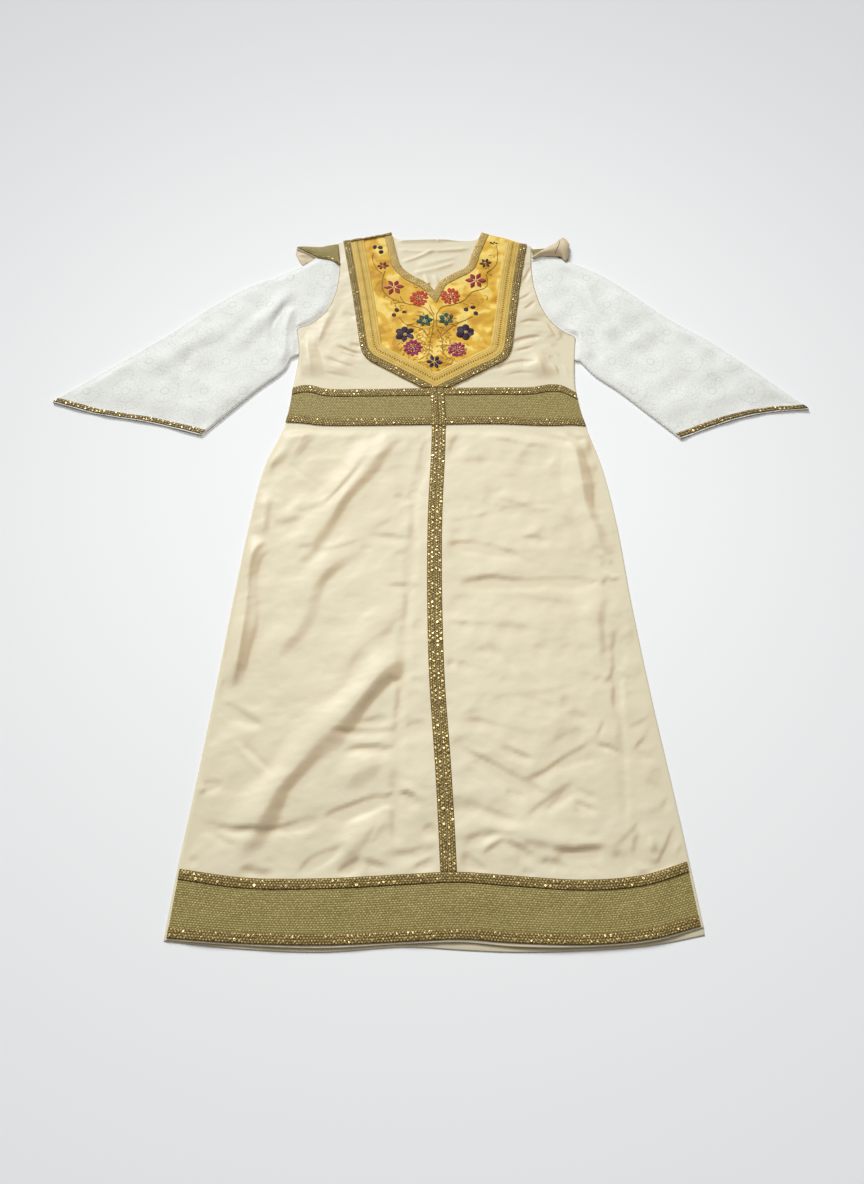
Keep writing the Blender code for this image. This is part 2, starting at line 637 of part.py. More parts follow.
def build_chest():
    neck_left, neck_right = neck_line(NECK_POINTS)
    neck = np.concatenate([neck_left, neck_right[1:]])

    def ribbon(name, outer, inner, finish):
        slab(name, np.array([outer, inner]), OVER_TOP, BRAID, finish)

    # The panel reaches the shoulder seam and lies under the braid that binds the neck.
    panel = np.concatenate([chest_line(0), offset(neck, -SEAM)[::-1]])
    flat_piece("chest_panel", panel, PANEL_LOW, PANEL_TOP, "velvet")
    near = CHEST_BORDER + SEAM
    far = near + CHEST_BRAID
    ribbon("chest_border", chest_line(0), chest_line(CHEST_BORDER), "olive_braid")
    ribbon("chest_braid", chest_line(near), chest_line(far), "pale_braid")
    ribbon("neck_braid", offset(neck, -NECK_BRAID), neck, "neck_braid")

    start, end = np.array(CHEST[0][:2]), np.array(NECK_LEFT[0])
    along = (end - start) / np.linalg.norm(end - start)
    line = [start + along * (far + SHOULDER_ENDS), end - along * (NECK_BRAID + SHOULDER_ENDS)]
    ribbon("shoulder_braid_left", offset(line, -SHOULDER_BRAID - CLOTH), offset(line, -CLOTH), "olive_braid")


def build_waist():
    """The waist band lies over the seam of skirt and bodice, from side to side."""
    places = np.linspace(-1, 1, WAIST_COLUMNS)
    low, high = waist_edge("low", places), waist_edge("high", places)

    def band(name, edges, level, finish):
        rows = []
        for ups in edges:
            left, right = side(ups, False), side(ups, True)
            rows.append(np.stack([(left + right) / 2 + (right - left) / 2 * places, ups], axis=1))
        slab(name, np.array(rows), level, BRAID, finish)

    band("waist_band", (low, (low + high) / 2, high), PANEL_TOP, "brocade")
    band("waist_braid_lower", (low, low + BAND_BRAID), OVER_TOP, "olive_braid")
    band("waist_braid_upper", (high - BAND_BRAID, high), OVER_TOP, "olive_braid")


def sleeve_plan(sleeve, right):
    """Plan points of a flattened sleeve: its shoulder cap from the armhole's edge outwards, then the rest,
    blended between the cap's line, the two folded edges and the cuff."""
    armhole = outer_edge(right, (SIDE_POINTS, ARM_POINTS))[1]
    run = [(side(up, right), up) for up in sleeve.seam]
    head = offset(np.concatenate([armhole[::-1], run]), HEAD_GAP if right else -HEAD_GAP)
    lengths = np.concatenate([[0], np.cumsum(np.linalg.norm(np.diff(head, axis=0), axis=1))])
    u = (lengths / lengths[-1]) ** CAP_SPREAD
    cap, cuff = path(sleeve.cap, u), path(sleeve.cuff, u)
    rows = [head + (cap - head) * share for share in np.linspace(0, 1, CAP_ROWS)[:-1]]
    for t in np.linspace(0, 1, SLEEVE_ROWS):
        upper, lower = path(sleeve.upper, t), path(sleeve.lower, t)
        plain = (1 - t) * cap + t * cuff
        ends = (upper - plain[0], lower - plain[-1])
        rows.append(plain + (1 - u)[:, None] * ends[0] + u[:, None] * ends[1])
    return np.array(rows)


def sleeve_rings(plan, top_height):
    """Outer and inner rings of a flattened tube, one for each row of plan points. Each goes over the top from
    the tube's upper edge to its lower edge and back underneath, round a small fold at each edge."""
    outer, inner = [], []
    for row, height in zip(plan, top_height):
        start = (row[1] - row[0]) / np.linalg.norm(row[1] - row[0])
        end = (row[-1] - row[-2]) / np.linalg.norm(row[-1] - row[-2])
        rings = []
        for inset in (0.0, CLOTH):
            radius = SLEEVE_FOLD / 2 - inset
            centres = [row[0] + start * SLEEVE_FOLD / 2, row[-1] - end * SLEEVE_FOLD / 2]
            ring = []
            for angle in FOLD_ANGLES:
                turn = math.radians(angle)
                out = centres[0] - start * radius * math.cos(turn)
                ring.append((*out, SLEEVE_FOLD / 2 + radius * math.sin(turn)))
            ring += [(*p, SLEEVE_FOLD - inset + h) for p, h in zip(row[1:-1], height[1:-1])]
            for angle in FOLD_ANGLES[::-1]:
                turn = math.radians(angle)
                out = centres[1] + end * radius * math.cos(turn)
                ring.append((*out, SLEEVE_FOLD / 2 + radius * math.sin(turn)))
            ring += [(*p, inset) for p in row[-2:0:-1]]
            rings.append(ring)
        outer.append(rings[0])
        inner.append(rings[1])
    return np.array(outer), np.array(inner)


def tube(name, outer, inner, finish):
    rows, count = outer.shape[:2]
    points = np.concatenate([outer.reshape(-1, 3), inner.reshape(-1, 3)])
    skip = rows * count
    faces = []
    for r in range(rows - 1):
        for c in range(count):
            d = (c + 1) % count
            a, b, e, f = r * count + c, r * count + d, (r + 1) * count + d, (r + 1) * count + c
            faces += [(a, b, e), (a, e, f)]
            faces += [(skip + a, skip + e, skip + b), (skip + a, skip + f, skip + e)]
    for r in (0, rows - 1):
        for c in range(count):
            a, b = r * count + c, r * count + (c + 1) % count
            ends = [(a, skip + a, skip + b), (a, skip + b, b)]
            faces += ends if r == 0 else [face[::-1] for face in ends]
    add_piece(name, points, faces, finish)


def build_sleeve(name, right):
    ridges = SLEEVE_RIGHT_RIDGES if right else SLEEVE_LEFT_RIDGES
    plan = sleeve_plan(SLEEVE_RIGHT if right else SLEEVE_LEFT, right)
    edge = np.minimum(
        np.linalg.norm(plan - plan[:, :1], axis=2), np.linalg.norm(plan - plan[:, -1:], axis=2)
    )
    head = np.linalg.norm(plan - plan[:1], axis=2)
    fade = np.clip(edge / FOOT, 0, 1) * np.clip(head / FOOT, 0, 1)
    height = lift(ridges, plan[..., 0], plan[..., 1]) * fade
    outer, inner = sleeve_rings(plan, height)
    tube(name, outer, inner, "lace")
    build_cuff(name.replace("sleeve", "cuff_braid"), plan, height)


def build_cuff(name, plan, height):
    """The cuff braid lies on the upper side of the sleeve, just inside its edge, from fold to fold."""
    end, before = plan[-1].copy(), plan[-2].copy()
    for line in (end, before):
        line[0] += (line[1] - line[0]) / np.linalg.norm(line[1] - line[0]) * CUFF_INSET
        line[-1] += (line[-2] - line[-1]) / np.linalg.norm(line[-2] - line[-1]) * CUFF_INSET
    step = end - before
    step /= np.linalg.norm(step, axis=1)[:, None]
    level = np.maximum(height[-1], height[-2])
    rows = [end - step * CUFF_EDGE, end - step * (CUFF_EDGE + CUFF_BRAID)]
    slab(name, np.array(rows), SLEEVE_FOLD + SEAM + BRAID + level, BRAID, "olive_braid")


def fan(near, far):
    """Plan points between two edges that run from a root to a tip."""
    t = np.linspace(0, 1, WING_COLUMNS)
    a, b = straight(near, t), straight(far, t)
    return np.stack([a + (b - a) * s for s in np.linspace(0, 1, WING_ROWS)])


def build_wings():
    """The left wing is folded over along its upper edge: its brocade face covers the sleeve's head and its
    lining shows under the tip. The right one is turned back, lining up, and its face shows at the root."""
    over_sleeve = SLEEVE_FOLD + SEAM + CLOTH
    over_back = BACK_TOP + SEAM + CLOTH
    t, share = np.linspace(0, 1, WING_COLUMNS), np.linspace(0, 1, WING_ROWS)[:, None]
    rise = np.sin(math.pi * share) * np.sqrt(np.clip(np.sin(math.pi * t), 0, 1))
    down = np.clip((t - WING_DROP[0]) / (WING_DROP[1] - WING_DROP[0]), 0, 1)
    drop = (over_sleeve - over_back) * share**2 * down
    face = fan(WING_LEFT_FREE, WING_LEFT_FOLD)
    slab("wing_face_left", face, over_sleeve + WING_PUFFS[0] * rise - drop, CLOTH, "brocade")
    slab("wing_lining_left", fan(LINING_LEFT_LOW, LINING_LEFT_HIGH), BACK_TOP, CLOTH, "satin")
    slab("wing_face_right", fan(WING_RIGHT_LOW, WING_RIGHT_BACK), over_sleeve, CLOTH, "brocade")
    lining = fan(LINING_RIGHT_LOW, LINING_RIGHT_HIGH)
    slab("wing_lining_right", lining, over_sleeve + SEAM + CLOTH + WING_PUFFS[1] * rise, CLOTH, "satin")


def move_to_origin():
    """Puts the origin under the middle of the box of all pieces."""
    corners = np.array([[*v.co] for piece in bpy.data.objects for v in piece.data.vertices])
    low, high = corners.min(axis=0), corners.max(axis=0)
    shift = np.array([-(low[0] + high[0]) / 2, -(low[1] + high[1]) / 2, -low[2]])
    for piece in bpy.data.objects:
        for v in piece.data.vertices:
            v.co = [c + s for c, s in zip(v.co, shift)]


def main():
    clear_scene()
    build_back()
    build_skirt()
    build_bodice()
    build_chest()
    build_waist()
    build_sleeve("sleeve_left", False)
    build_sleeve("sleeve_right", True)
    build_wings()
    move_to_origin()


main()
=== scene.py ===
"""A long dress laid out flat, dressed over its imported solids: cream satin body, white lace sleeves, an
embroidered velvet chest panel, brocade bands, sequinned braid and two shoulder wings.

Metres, +Z up. The tables measure the dress from the middle of its hem line, as its pattern does, and
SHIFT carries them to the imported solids' frame. Tables in millimetres say so.
"""

import json
import math
from collections import namedtuple

import bmesh
import bpy
import numpy as np
from mathutils import Matrix, Vector

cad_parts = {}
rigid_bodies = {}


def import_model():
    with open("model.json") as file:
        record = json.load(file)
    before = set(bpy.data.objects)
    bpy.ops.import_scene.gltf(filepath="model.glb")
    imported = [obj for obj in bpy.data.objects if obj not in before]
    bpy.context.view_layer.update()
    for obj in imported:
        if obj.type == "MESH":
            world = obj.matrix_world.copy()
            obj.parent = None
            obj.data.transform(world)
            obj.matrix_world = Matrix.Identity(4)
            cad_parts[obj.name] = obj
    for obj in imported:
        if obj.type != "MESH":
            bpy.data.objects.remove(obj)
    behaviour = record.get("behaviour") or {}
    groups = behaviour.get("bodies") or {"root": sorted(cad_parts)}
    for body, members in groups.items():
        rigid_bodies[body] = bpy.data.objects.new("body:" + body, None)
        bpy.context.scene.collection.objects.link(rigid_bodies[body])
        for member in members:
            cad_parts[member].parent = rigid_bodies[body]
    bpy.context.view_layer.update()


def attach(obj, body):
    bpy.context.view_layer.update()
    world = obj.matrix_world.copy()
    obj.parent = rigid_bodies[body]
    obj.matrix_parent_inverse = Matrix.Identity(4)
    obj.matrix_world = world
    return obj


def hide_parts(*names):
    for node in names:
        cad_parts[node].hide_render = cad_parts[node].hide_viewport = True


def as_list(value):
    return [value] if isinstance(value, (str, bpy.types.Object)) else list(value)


for thing in list(bpy.data.objects):
    bpy.data.objects.remove(thing, do_unlink=True)
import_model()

SHIFT = (0.012, -0.643)
MM = 0.001

# Heights of the layers, from the table up.
CLOTH, BRAID, SEAM = 0.0015, 0.0012, 0.0003
BACK_TOP = CLOTH
FRONT_TOP = BACK_TOP + SEAM + CLOTH
PANEL_TOP = FRONT_TOP + SEAM + BRAID
OVER_TOP = PANEL_TOP + SEAM + BRAID
STRIP_TOP = OVER_TOP + SEAM + BRAID

# The body's sides, as heights above the hem with the distances of the left and the right side from the
# middle line, and the middle line itself, which wanders a little.
SIDES = (
    (-0.015, 0.391, 0.385), (0.100, 0.380, 0.371), (0.214, 0.366, 0.356), (0.358, 0.350, 0.336),
    (0.517, 0.334, 0.317), (0.674, 0.316, 0.302), (0.780, 0.299, 0.285), (0.867, 0.268, 0.261),
    (0.905, 0.262, 0.253), (0.950, 0.258, 0.248), (1.020, 0.252, 0.2515), (1.090, 0.262, 0.2585),
)
MIDDLE = (
    (-0.015, 0.020), (0.104, 0.0165), (0.255, 0.009), (0.390, 0.000), (0.540, -0.004), (0.674, -0.0035),
    (0.863, 0.003), (0.941, 0.000), (1.160, -0.005),
)
# Heights across the skirt from its left side, -1, to its right side, 1: the back's and the front's edge
# and the hem band's two edges.
HEMS = (
    (-1.00, 0.002, 0.003, 0.006, 0.102), (-0.75, -0.008, -0.004, -0.001, 0.089),
    (-0.45, -0.013, -0.008, -0.004, 0.088), (-0.15, -0.006, -0.002, 0.001, 0.094),
    (0.04, -0.010, 0.000, 0.004, 0.097), (0.25, -0.013, -0.006, -0.001, 0.092),
    (0.57, -0.010, -0.006, -0.003, 0.086), (0.80, -0.003, 0.002, 0.005, 0.093),
    (1.00, 0.010, 0.020, 0.023, 0.113),
)
# The waist band's lower and upper edge, from side to side.
WAISTS = (
    (-1.00, 0.869, 0.9420), (-0.93, 0.868, 0.9470), (-0.86, 0.866, 0.9460), (-0.78, 0.863, 0.9400),
    (-0.50, 0.862, 0.9385), (0.00, 0.864, 0.9405), (0.45, 0.865, 0.9420), (0.70, 0.862, 0.9430),
    (0.82, 0.862, 0.9485), (0.91, 0.863, 0.9460), (1.00, 0.861, 0.9310),
)
WAIST_SEAM = 0.905
WAIST_CLEAR = (0.855, 0.957)
BAND_BRAID, STRIP = 0.015, 0.0120
BAND_IN = 0.011

UNDERARMS = ((-0.261, 1.076), (0.257, 1.056))
SHOULDERS = ((-0.190, 1.276), (0.181, 1.266))
ARMHOLES = (((-0.196, 1.084), (-0.176, 1.165)), ((0.203, 1.068), (0.172, 1.145)))
NECK_POINT = (-0.005, 1.158)
NECK_LEFT = ((-0.088, 1.299), (-0.078, 1.250), (-0.071, 1.222), (-0.052, 1.198), (-0.018, 1.174), NECK_POINT)
NECK_RIGHT = ((0.086, 1.299), (0.068, 1.250), (0.055, 1.214), (0.033, 1.200), (0.004, 1.178), NECK_POINT)
BACK_NECK = ((-0.088, 1.299), (-0.080, 1.2905), (0.000, 1.2870), (0.077, 1.2880), (0.086, 1.299))
NECK_BRAID = 0.015

# The chest panel's corners from its left shoulder round to its right one, with how far from each
# corner its rounding starts.
CHEST = (
    (-0.1805, 1.2780, 0.000), (-0.1600, 1.1600, 0.030), (-0.1370, 1.0080, 0.026), (-0.0030, 0.9270, 0.000),
    (0.1340, 1.0050, 0.026), (0.1580, 1.1850, 0.030), (0.1725, 1.2685, 0.000),
)
CHEST_POINT, CHEST_FOOT = 3, 0.9418
CHEST_BORDER, CHEST_BRAID, SHOULDER_BRAID = 0.013, 0.026, 0.005

Sleeve = namedtuple("Sleeve", "cap upper lower cuff seam")
SLEEVES = (
    Sleeve(
        cap=((-0.252, 1.221), (-0.270, 1.160), (-0.2755, 1.100), (-0.273, 1.050), (-0.2670, 1.006)),
        upper=((-0.252, 1.221), (-0.304, 1.192), (-0.355, 1.168), (-0.423, 1.119), (-0.488, 1.063),
               (-0.686, 0.912)),
        lower=((-0.2670, 1.006), (-0.275, 0.984), (-0.3195, 0.941), (-0.366, 0.893), (-0.414, 0.843)),
        cuff=((-0.686, 0.912), (-0.606, 0.888), (-0.502, 0.868), (-0.414, 0.843)),
        seam=(1.056, 1.036, 1.016),
    ),
    Sleeve(
        cap=((0.248, 1.231), (0.264, 1.155), (0.271, 1.085), (0.267, 1.035), (0.2605, 1.000)),
        upper=((0.248, 1.231), (0.305, 1.201), (0.357, 1.160), (0.430, 1.094), (0.497, 1.046),
               (0.662, 0.897)),
        lower=((0.2605, 1.000), (0.284, 0.970), (0.3235, 0.937), (0.372, 0.890), (0.427, 0.836)),
        cuff=((0.662, 0.897), (0.597, 0.892), (0.548, 0.882), (0.491, 0.863), (0.427, 0.836)),
        seam=(1.037, 1.019, 1.002),
    ),
)
HEAD_GAP, CAP_SPREAD, SLEEVE_FOLD = 0.0003, 1.7, 0.0042
CUFF_BRAID, CUFF_EDGE, CUFF_INSET = 0.011, 0.0022, 0.0020

# The wings' edges from root to tip.
WING_LEFT_FOLD = (
    (-0.1900, 1.2722), (-0.2047, 1.2691), (-0.2207, 1.2665), (-0.2367, 1.2675), (-0.2567, 1.2684),
    (-0.2655, 1.2679), (-0.2695, 1.2651),
)
WING_LEFT_FREE = (
    (-0.1838, 1.2198), (-0.1949, 1.2274), (-0.2072, 1.2335), (-0.2191, 1.2357), (-0.2271, 1.2386),
    (-0.2396, 1.2467), (-0.2518, 1.2538), (-0.2645, 1.2614), (-0.2687, 1.2638),
)
LINING_LEFT_HIGH = (
    (-0.2060, 1.2680), (-0.2207, 1.2665), (-0.2367, 1.2675), (-0.2567, 1.2684), (-0.2695, 1.2651),
)
LINING_LEFT_LOW = (
    (-0.2060, 1.2665), (-0.2280, 1.2445), (-0.2562, 1.2232), (-0.2645, 1.2356), (-0.2712, 1.2508),
    (-0.2713, 1.2589),
)
LINING_RIGHT_HIGH = (
    (0.1800, 1.2365), (0.1984, 1.2510), (0.2131, 1.2620), (0.2303, 1.2730), (0.2390, 1.2815),
    (0.2420, 1.2850), (0.2474, 1.2821), (0.2520, 1.2747), (0.2540, 1.2680),
)
LINING_RIGHT_LOW = (
    (0.1821, 1.2358), (0.1888, 1.2358), (0.1980, 1.2407), (0.2270, 1.2407), (0.2369, 1.2402),
    (0.2418, 1.2317), (0.2454, 1.2284), (0.2489, 1.2332), (0.2514, 1.2415), (0.2533, 1.2590),
)
WING_RIGHT_BACK = (
    (0.1815, 1.2587), (0.1939, 1.2599), (0.2065, 1.2609), (0.2200, 1.2680), (0.2314, 1.2760),
    (0.2352, 1.2825), (0.2412, 1.2860), (0.2470, 1.2815), (0.2510, 1.2745),
)
WING_RIGHT_LOW = (
    (0.1835, 1.2380), (0.1980, 1.2420), (0.2270, 1.2420), (0.2369, 1.2415), (0.2460, 1.2270),
    (0.2500, 1.2330), (0.2515, 1.2600),
)

# Creases in millimetres: a height, below 0 for a trough, the widths of its flanks on the left and on the
# right of its run, and the points that it runs through.
SKIRT_CREASES = (
    (4.6, 22, 54, ((-47, 865), (-72, 840), (-118, 785), (-159, 722), (-190, 667), (-210, 636),
        (-231, 597), (-255, 557))),
    (-2, 22, 8, ((-118, 803), (-141, 767), (-185, 711), (-200, 697))),
    (1, 18, 26, ((-65, 693), (-99, 672), (-130, 649))),
    (3.3, 25, 50, ((-118, 640), (-139, 627), (-165, 600), (-201, 561), (-214, 520), (-225, 488),
        (-244, 456), (-268, 421), (-286, 388))),
    (2.8, 11, 20, ((-337, 440), (-342, 395), (-344, 362))),
    (4.6, 18, 24, ((-226, 857), (-259, 832), (-273, 803), (-289, 785), (-297, 753))),
    (4.2, 14, 20, ((-283, 727), (-293, 701), (-295, 660), (-296, 641))),
    (-0.9, 8, 8, ((-260, 788), (-233, 763), (-208, 746), (-189, 732))),
    (2.2, 23, 11, ((-257, 701), (-224, 703), (-191, 713))),
    (2.2, 23, 11, ((-283, 672), (-247, 680), (-223, 687))),
    (-2.4, 7, 24, ((-116, 644), (-86, 645), (-63, 641), (-39, 638))),
    (-1.6, 5, 15, ((-76, 723), (-55, 719), (-33, 716))),
    (-1.2, 5, 15, ((-53, 723), (-30, 735))),
    (-1, 6, 17, ((-128, 628), (-119, 625), (-104, 621))),
    (-1.2, 5, 15, ((-238, 622), (-202, 624))),
    (0.9, 15, 5, ((-202, 621), (-175, 622), (-146, 633), (-128, 640))),
    (-1.9, 6, 19, ((-90, 552), (-64, 554), (-44, 553), (-20, 551))),
    (-1.6, 12, 16, ((-14, 837), (-26, 763), (-36, 711), (-38, 643), (-41, 610), (-44, 561), (-47, 498),
        (-51, 467), (-52, 407), (-59, 316), (-59, 282), (-60, 200), (-59, 130))),
    (2.8, 24, 36, ((-46, 533), (-81, 498), (-108, 468), (-135, 438), (-164, 407))),
    (-0.9, 8, 8, ((-81, 613), (-59, 609), (-44, 598))),
    (-0.8, 6, 17, ((-43, 489), (-17, 488))),
    (-0.8, 6, 17, ((-43, 480), (-16, 476))),
    (-1.9, 5, 17, ((-79, 395), (-67, 392), (-53, 389))),
    (-1, 6, 17, ((-49, 394), (-14, 388))),
    (-1, 8, 22, ((-175, 831), (-137, 834), (-106, 842), (-75, 849))),
    (-0.9, 6, 17, ((-37, 843), (-12, 845))),
    (6.8, 28, 46, ((-38, 463), (-50, 439), (-68, 423), (-89, 405), (-114, 368), (-136, 341),
        (-164, 312), (-196, 279), (-221, 247), (-243, 217), (-260, 186), (-272, 160), (-290, 134),
        (-309, 111))),
    (-1.6, 6, 22, ((-132, 321), (-110, 324), (-86, 328), (-66, 326))),
    (-2.4, 5, 16, ((-165, 310), (-121, 308), (-58, 310))),
    (-1.8, 8, 26, ((-55, 311), (-33, 319), (-12, 322))),
    (-1.6, 5, 22, ((-146, 282), (-120, 284), (-93, 283), (-59, 281))),
    (4.4, 25, 25, ((-82, 279), (-124, 245), (-156, 223))),
    (-3.4, 7, 24, ((-170, 181), (-138, 188), (-117, 195), (-93, 204), (-75, 212))),
    (1.6, 17, 5, ((-57, 202), (-45, 214), (-29, 205), (-10, 196))),
    (-1.2, 5, 15, ((-51, 200), (-35, 197), (-24, 196))),
    (-3.1, 9, 24, ((-196, 111), (-162, 124), (-144, 134), (-131, 140))),
    (2.6, 18, 28, ((-82, 189), (-100, 163), (-126, 134), (-154, 114), (-177, 96))),
    (-2.1, 8, 22, ((-112, 111), (-83, 106), (-62, 99))),
    (-2.1, 7, 24, ((-39, 101), (-15, 111), (2, 117))),
    (-2.1, 9, 24, ((-86, 131), (-63, 123), (-36, 125), (0, 142))),
    (-1.6, 6, 17, ((-16, 162), (4, 157))),
    (-1.9, 7, 19, ((-145, 96), (-125, 101), (-113, 114), (-99, 106))),
    (-4, 7, 18, ((-346, 354), (-320, 344), (-292, 329), (-262, 313))),
    (-1, 6, 17, ((-349, 305), (-336, 303))),
    (2.4, 8, 12, ((-315, 293), (-283, 265), (-254, 242))),
    (-1.9, 5, 17, ((-358, 226), (-339, 228), (-322, 228))),
    (1.2, 15, 5, ((-365, 214), (-346, 218))),
    (-1.9, 5, 17, ((-372, 175), (-350, 170), (-331, 163))),
    (-2.4, 6, 22, ((-324, 162), (-304, 159), (-278, 160), (-254, 160))),
    (-1.5, 8, 8, ((-241, 160), (-228, 156), (-207, 144))),
    (-1, 10, 26, ((-239, 162), (-196, 171), (-170, 180))),
    (-1.6, 6, 17, ((-366, 113), (-349, 118))),
    (-2.8, 7, 16, ((150, 856), (181, 850), (208, 838), (245, 823))),
    (1, 8, 8, ((238, 868), (252, 843), (261, 834))),
    (-1, 5, 15, ((242, 837), (267, 835))),
    (2, 26, 8, ((77, 838), (120, 835), (157, 824), (201, 824))),
    (-1.4, 30, 12, ((58, 854), (33, 828), (17, 792))),
    (1.6, 24, 8, ((87, 722), (138, 709), (177, 694), (207, 694))),
    (-1, 8, 30, ((78, 728), (99, 729), (118, 742))),
    (-3.2, 9, 22, ((13, 629), (47, 629), (81, 624), (115, 615), (148, 609))),
    (-1.9, 6, 19, ((133, 640), (157, 642), (175, 639), (192, 634))),
    (-2.8, 9, 30, ((31, 560), (60, 562), (89, 565), (133, 561), (160, 562), (183, 564), (213, 563),
        (236, 562), (274, 560))),
    (-1.6, 5, 15, ((230, 562), (254, 561), (274, 560))),
    (2.5, 8, 8, ((258, 613), (274, 609), (288, 598), (300, 590))),
    (-2.1, 6, 6, ((271, 598), (284, 584), (293, 574))),
    (2.1, 6, 6, ((270, 582), (281, 574), (292, 568), (304, 571))),
    (-2.6, 6, 17, ((272, 568), (283, 560), (295, 561), (310, 568))),
    (3.2, 18, 40, ((271, 561), (263, 529), (257, 498), (257, 437), (251, 407))),
    (-1.6, 22, 8, ((289, 489), (283, 437), (280, 377), (277, 349), (281, 327))),
    (-2.1, 5, 17, ((297, 395), (308, 390), (320, 389))),
    (1.2, 8, 8, ((278, 411), (289, 407), (300, 395))),
    (1.6, 17, 6, ((254, 386), (272, 397), (279, 407))),
    (-1.2, 8, 22, ((10, 489), (36, 487), (62, 489))),
    (-1, 12, 30, ((13, 529), (45, 526), (71, 529))),
    (-1, 10, 26, ((117, 515), (134, 507), (152, 504))),
    (-0.9, 13, 13, ((67, 448), (78, 437), (89, 429))),
    (-1.2, 5, 15, ((14, 421), (32, 419))),
    (-1.6, 7, 19, ((-24, 157), (-1, 164))),
    (1.6, 19, 7, ((-24, 129), (1, 140))),
    (-1.8, 8, 8, ((272, 405), (283, 399), (298, 393))),
    (1, 22, 8, ((238, 393), (255, 400), (261, 409))),
    (-0.9, 16, 16, ((194, 365), (210, 344))),
    (-0.5, 7, 30, ((14, 628), (69, 628), (132, 608), (195, 580), (245, 566))),
    (-1, 7, 28, ((14, 725), (70, 710), (154, 688), (199, 677))),
    (-0.9, 7, 28, ((11, 673), (69, 680), (155, 703), (221, 710))),
    (-0.8, 8, 30, ((10, 532), (98, 535), (192, 525), (254, 515))),
    (-0.9, 7, 30, ((10, 425), (53, 415), (95, 399))),
    (-0.6, 7, 26, ((17, 484), (97, 484), (178, 474), (240, 478))),
    (-0.5, 7, 26, ((10, 374), (76, 364), (155, 368), (234, 387))),
    (-0.8, 8, 30, ((18, 786), (105, 790), (204, 778), (238, 782))),
    (-2.4, 5, 20, ((-365, 172), (-327, 164), (-288, 158), (-263, 157), (-220, 164), (-176, 174))),
    (-3.2, 5, 22, ((-176, 174), (-142, 186), (-108, 199), (-73, 208), (-56, 213), (-44, 211), (-21, 204))),
    (-1.3, 4, 16, ((-73, 208), (-66, 201), (-59, 203))),
    (-1.4, 5, 16, ((-146, 278), (-110, 283), (-60, 279))),
    (-1.5, 4, 14, ((-356, 228), (-338, 227), (-318, 228))),
    (-1.2, 4, 14, ((-361, 212), (-342, 215), (-330, 216))),
    (-1.4, 6, 18, ((-296, 295), (-276, 269), (-249, 243))),
    (-1.3, 5, 16, ((-337, 157), (-311, 142), (-286, 135))),
    (0.8, 6, 18, ((-110, 118), (-97, 142), (-73, 186))),
    (-3.6, 7, 20, ((-205, 91), (-186, 111), (-158, 123), (-130, 140))),
    (-1.4, 5, 18, ((-110, 116), (-91, 109), (-71, 100))),
    (-3, 6, 14, ((-289, 104), (-262, 97), (-232, 94))),
    (-2.8, 6, 18, ((-150, 91), (-132, 105), (-109, 120))),
    (-2.6, 7, 26, ((29, 288), (76, 261), (122, 234), (150, 220), (173, 202))),
    (-2.2, 5, 24, ((122, 230), (154, 240), (187, 261), (224, 282), (242, 294))),
    (-2.6, 4, 14, ((242, 290), (265, 282), (288, 270))),
    (-1.4, 4, 12, ((242, 292), (255, 316), (259, 331))),
    (-1.8, 9, 22, ((123, 168), (152, 191), (191, 217), (221, 237))),
    (-1.2, 6, 16, ((152, 177), (179, 200), (209, 223))),
    (-0.9, 8, 16, ((277, 416), (286, 365), (287, 322), (285, 232), (281, 162))),
    (-1.8, 4, 12, ((291, 312), (309, 319), (334, 331))),
    (-2.2, 4, 12, ((301, 278), (319, 294), (338, 303))),
    (-1.8, 4, 12, ((306, 276), (320, 270), (334, 261))),
    (-1.6, 4, 12, ((280, 407), (297, 397), (321, 387))),
    (-1.4, 4, 14, ((203, 223), (223, 213), (245, 205))),
    (-2.4, 4, 14, ((202, 205), (224, 192), (246, 185))),
    (-1.3, 4, 12, ((204, 191), (223, 177))),
    (2.2, 14, 5, ((62, 122), (78, 134), (95, 144), (118, 138), (141, 128))),
    (-3.2, 6, 20, ((168, 133), (187, 127), (221, 128), (257, 132))),
    (-1.3, 6, 20, ((28, 140), (62, 149), (102, 152), (142, 151))),
    (-0.9, 5, 14, ((259, 133), (278, 144), (294, 161), (305, 177))),
    (-3.8, 6, 14, ((301, 161), (300, 134), (309, 112), (323, 108), (339, 132), (355, 164))),
    (1.8, 14, 12, ((313, 151), (315, 134), (319, 123))),
    (-1.8, 4, 12, ((260, 131), (275, 112), (283, 90))),
    (-2, 4, 14, ((283, 91), (308, 97), (338, 112), (359, 123))),
    (-1.5, 4, 10, ((158, 119), (166, 106), (169, 91))),
    (-1.4, 4, 10, ((123, 103), (134, 97), (143, 90))),
    (-1.4, 4, 10, ((222, 112), (236, 100), (243, 90))),
    (-1.6, 4, 10, ((352, 128), (362, 123), (369, 115))),
    (-1.2, 8, 24, ((35, 328), (77, 322), (124, 309), (166, 306))),
    (-0.5, 8, 26, ((103, 384), (150, 359), (198, 346), (246, 353))),
    (-1.2, 8, 22, ((28, 200), (63, 191), (97, 179), (126, 168))),
    (-1, 10, 26, ((165, 285), (195, 300), (232, 316), (252, 328))),
    (-1, 8, 20, ((177, 162), (210, 151), (250, 151))),
    (-1.2, 6, 16, ((330, 185), (346, 202), (352, 220))),
    (-1, 6, 16, ((317, 237), (331, 223), (345, 219))),
    (-1.4, 20, 8, ((71, 453), (96, 434), (118, 409), (129, 392))),
    (-1.6, 8, 18, ((202, 347), (221, 334), (240, 317))),
    (-2.8, 7, 20, ((97, 289), (118, 276), (153, 261))),
    (1.3, 10, 20, ((-281, 643), (-304, 615), (-310, 577), (-310, 529), (-313, 467), (-317, 407),
        (-322, 374))),
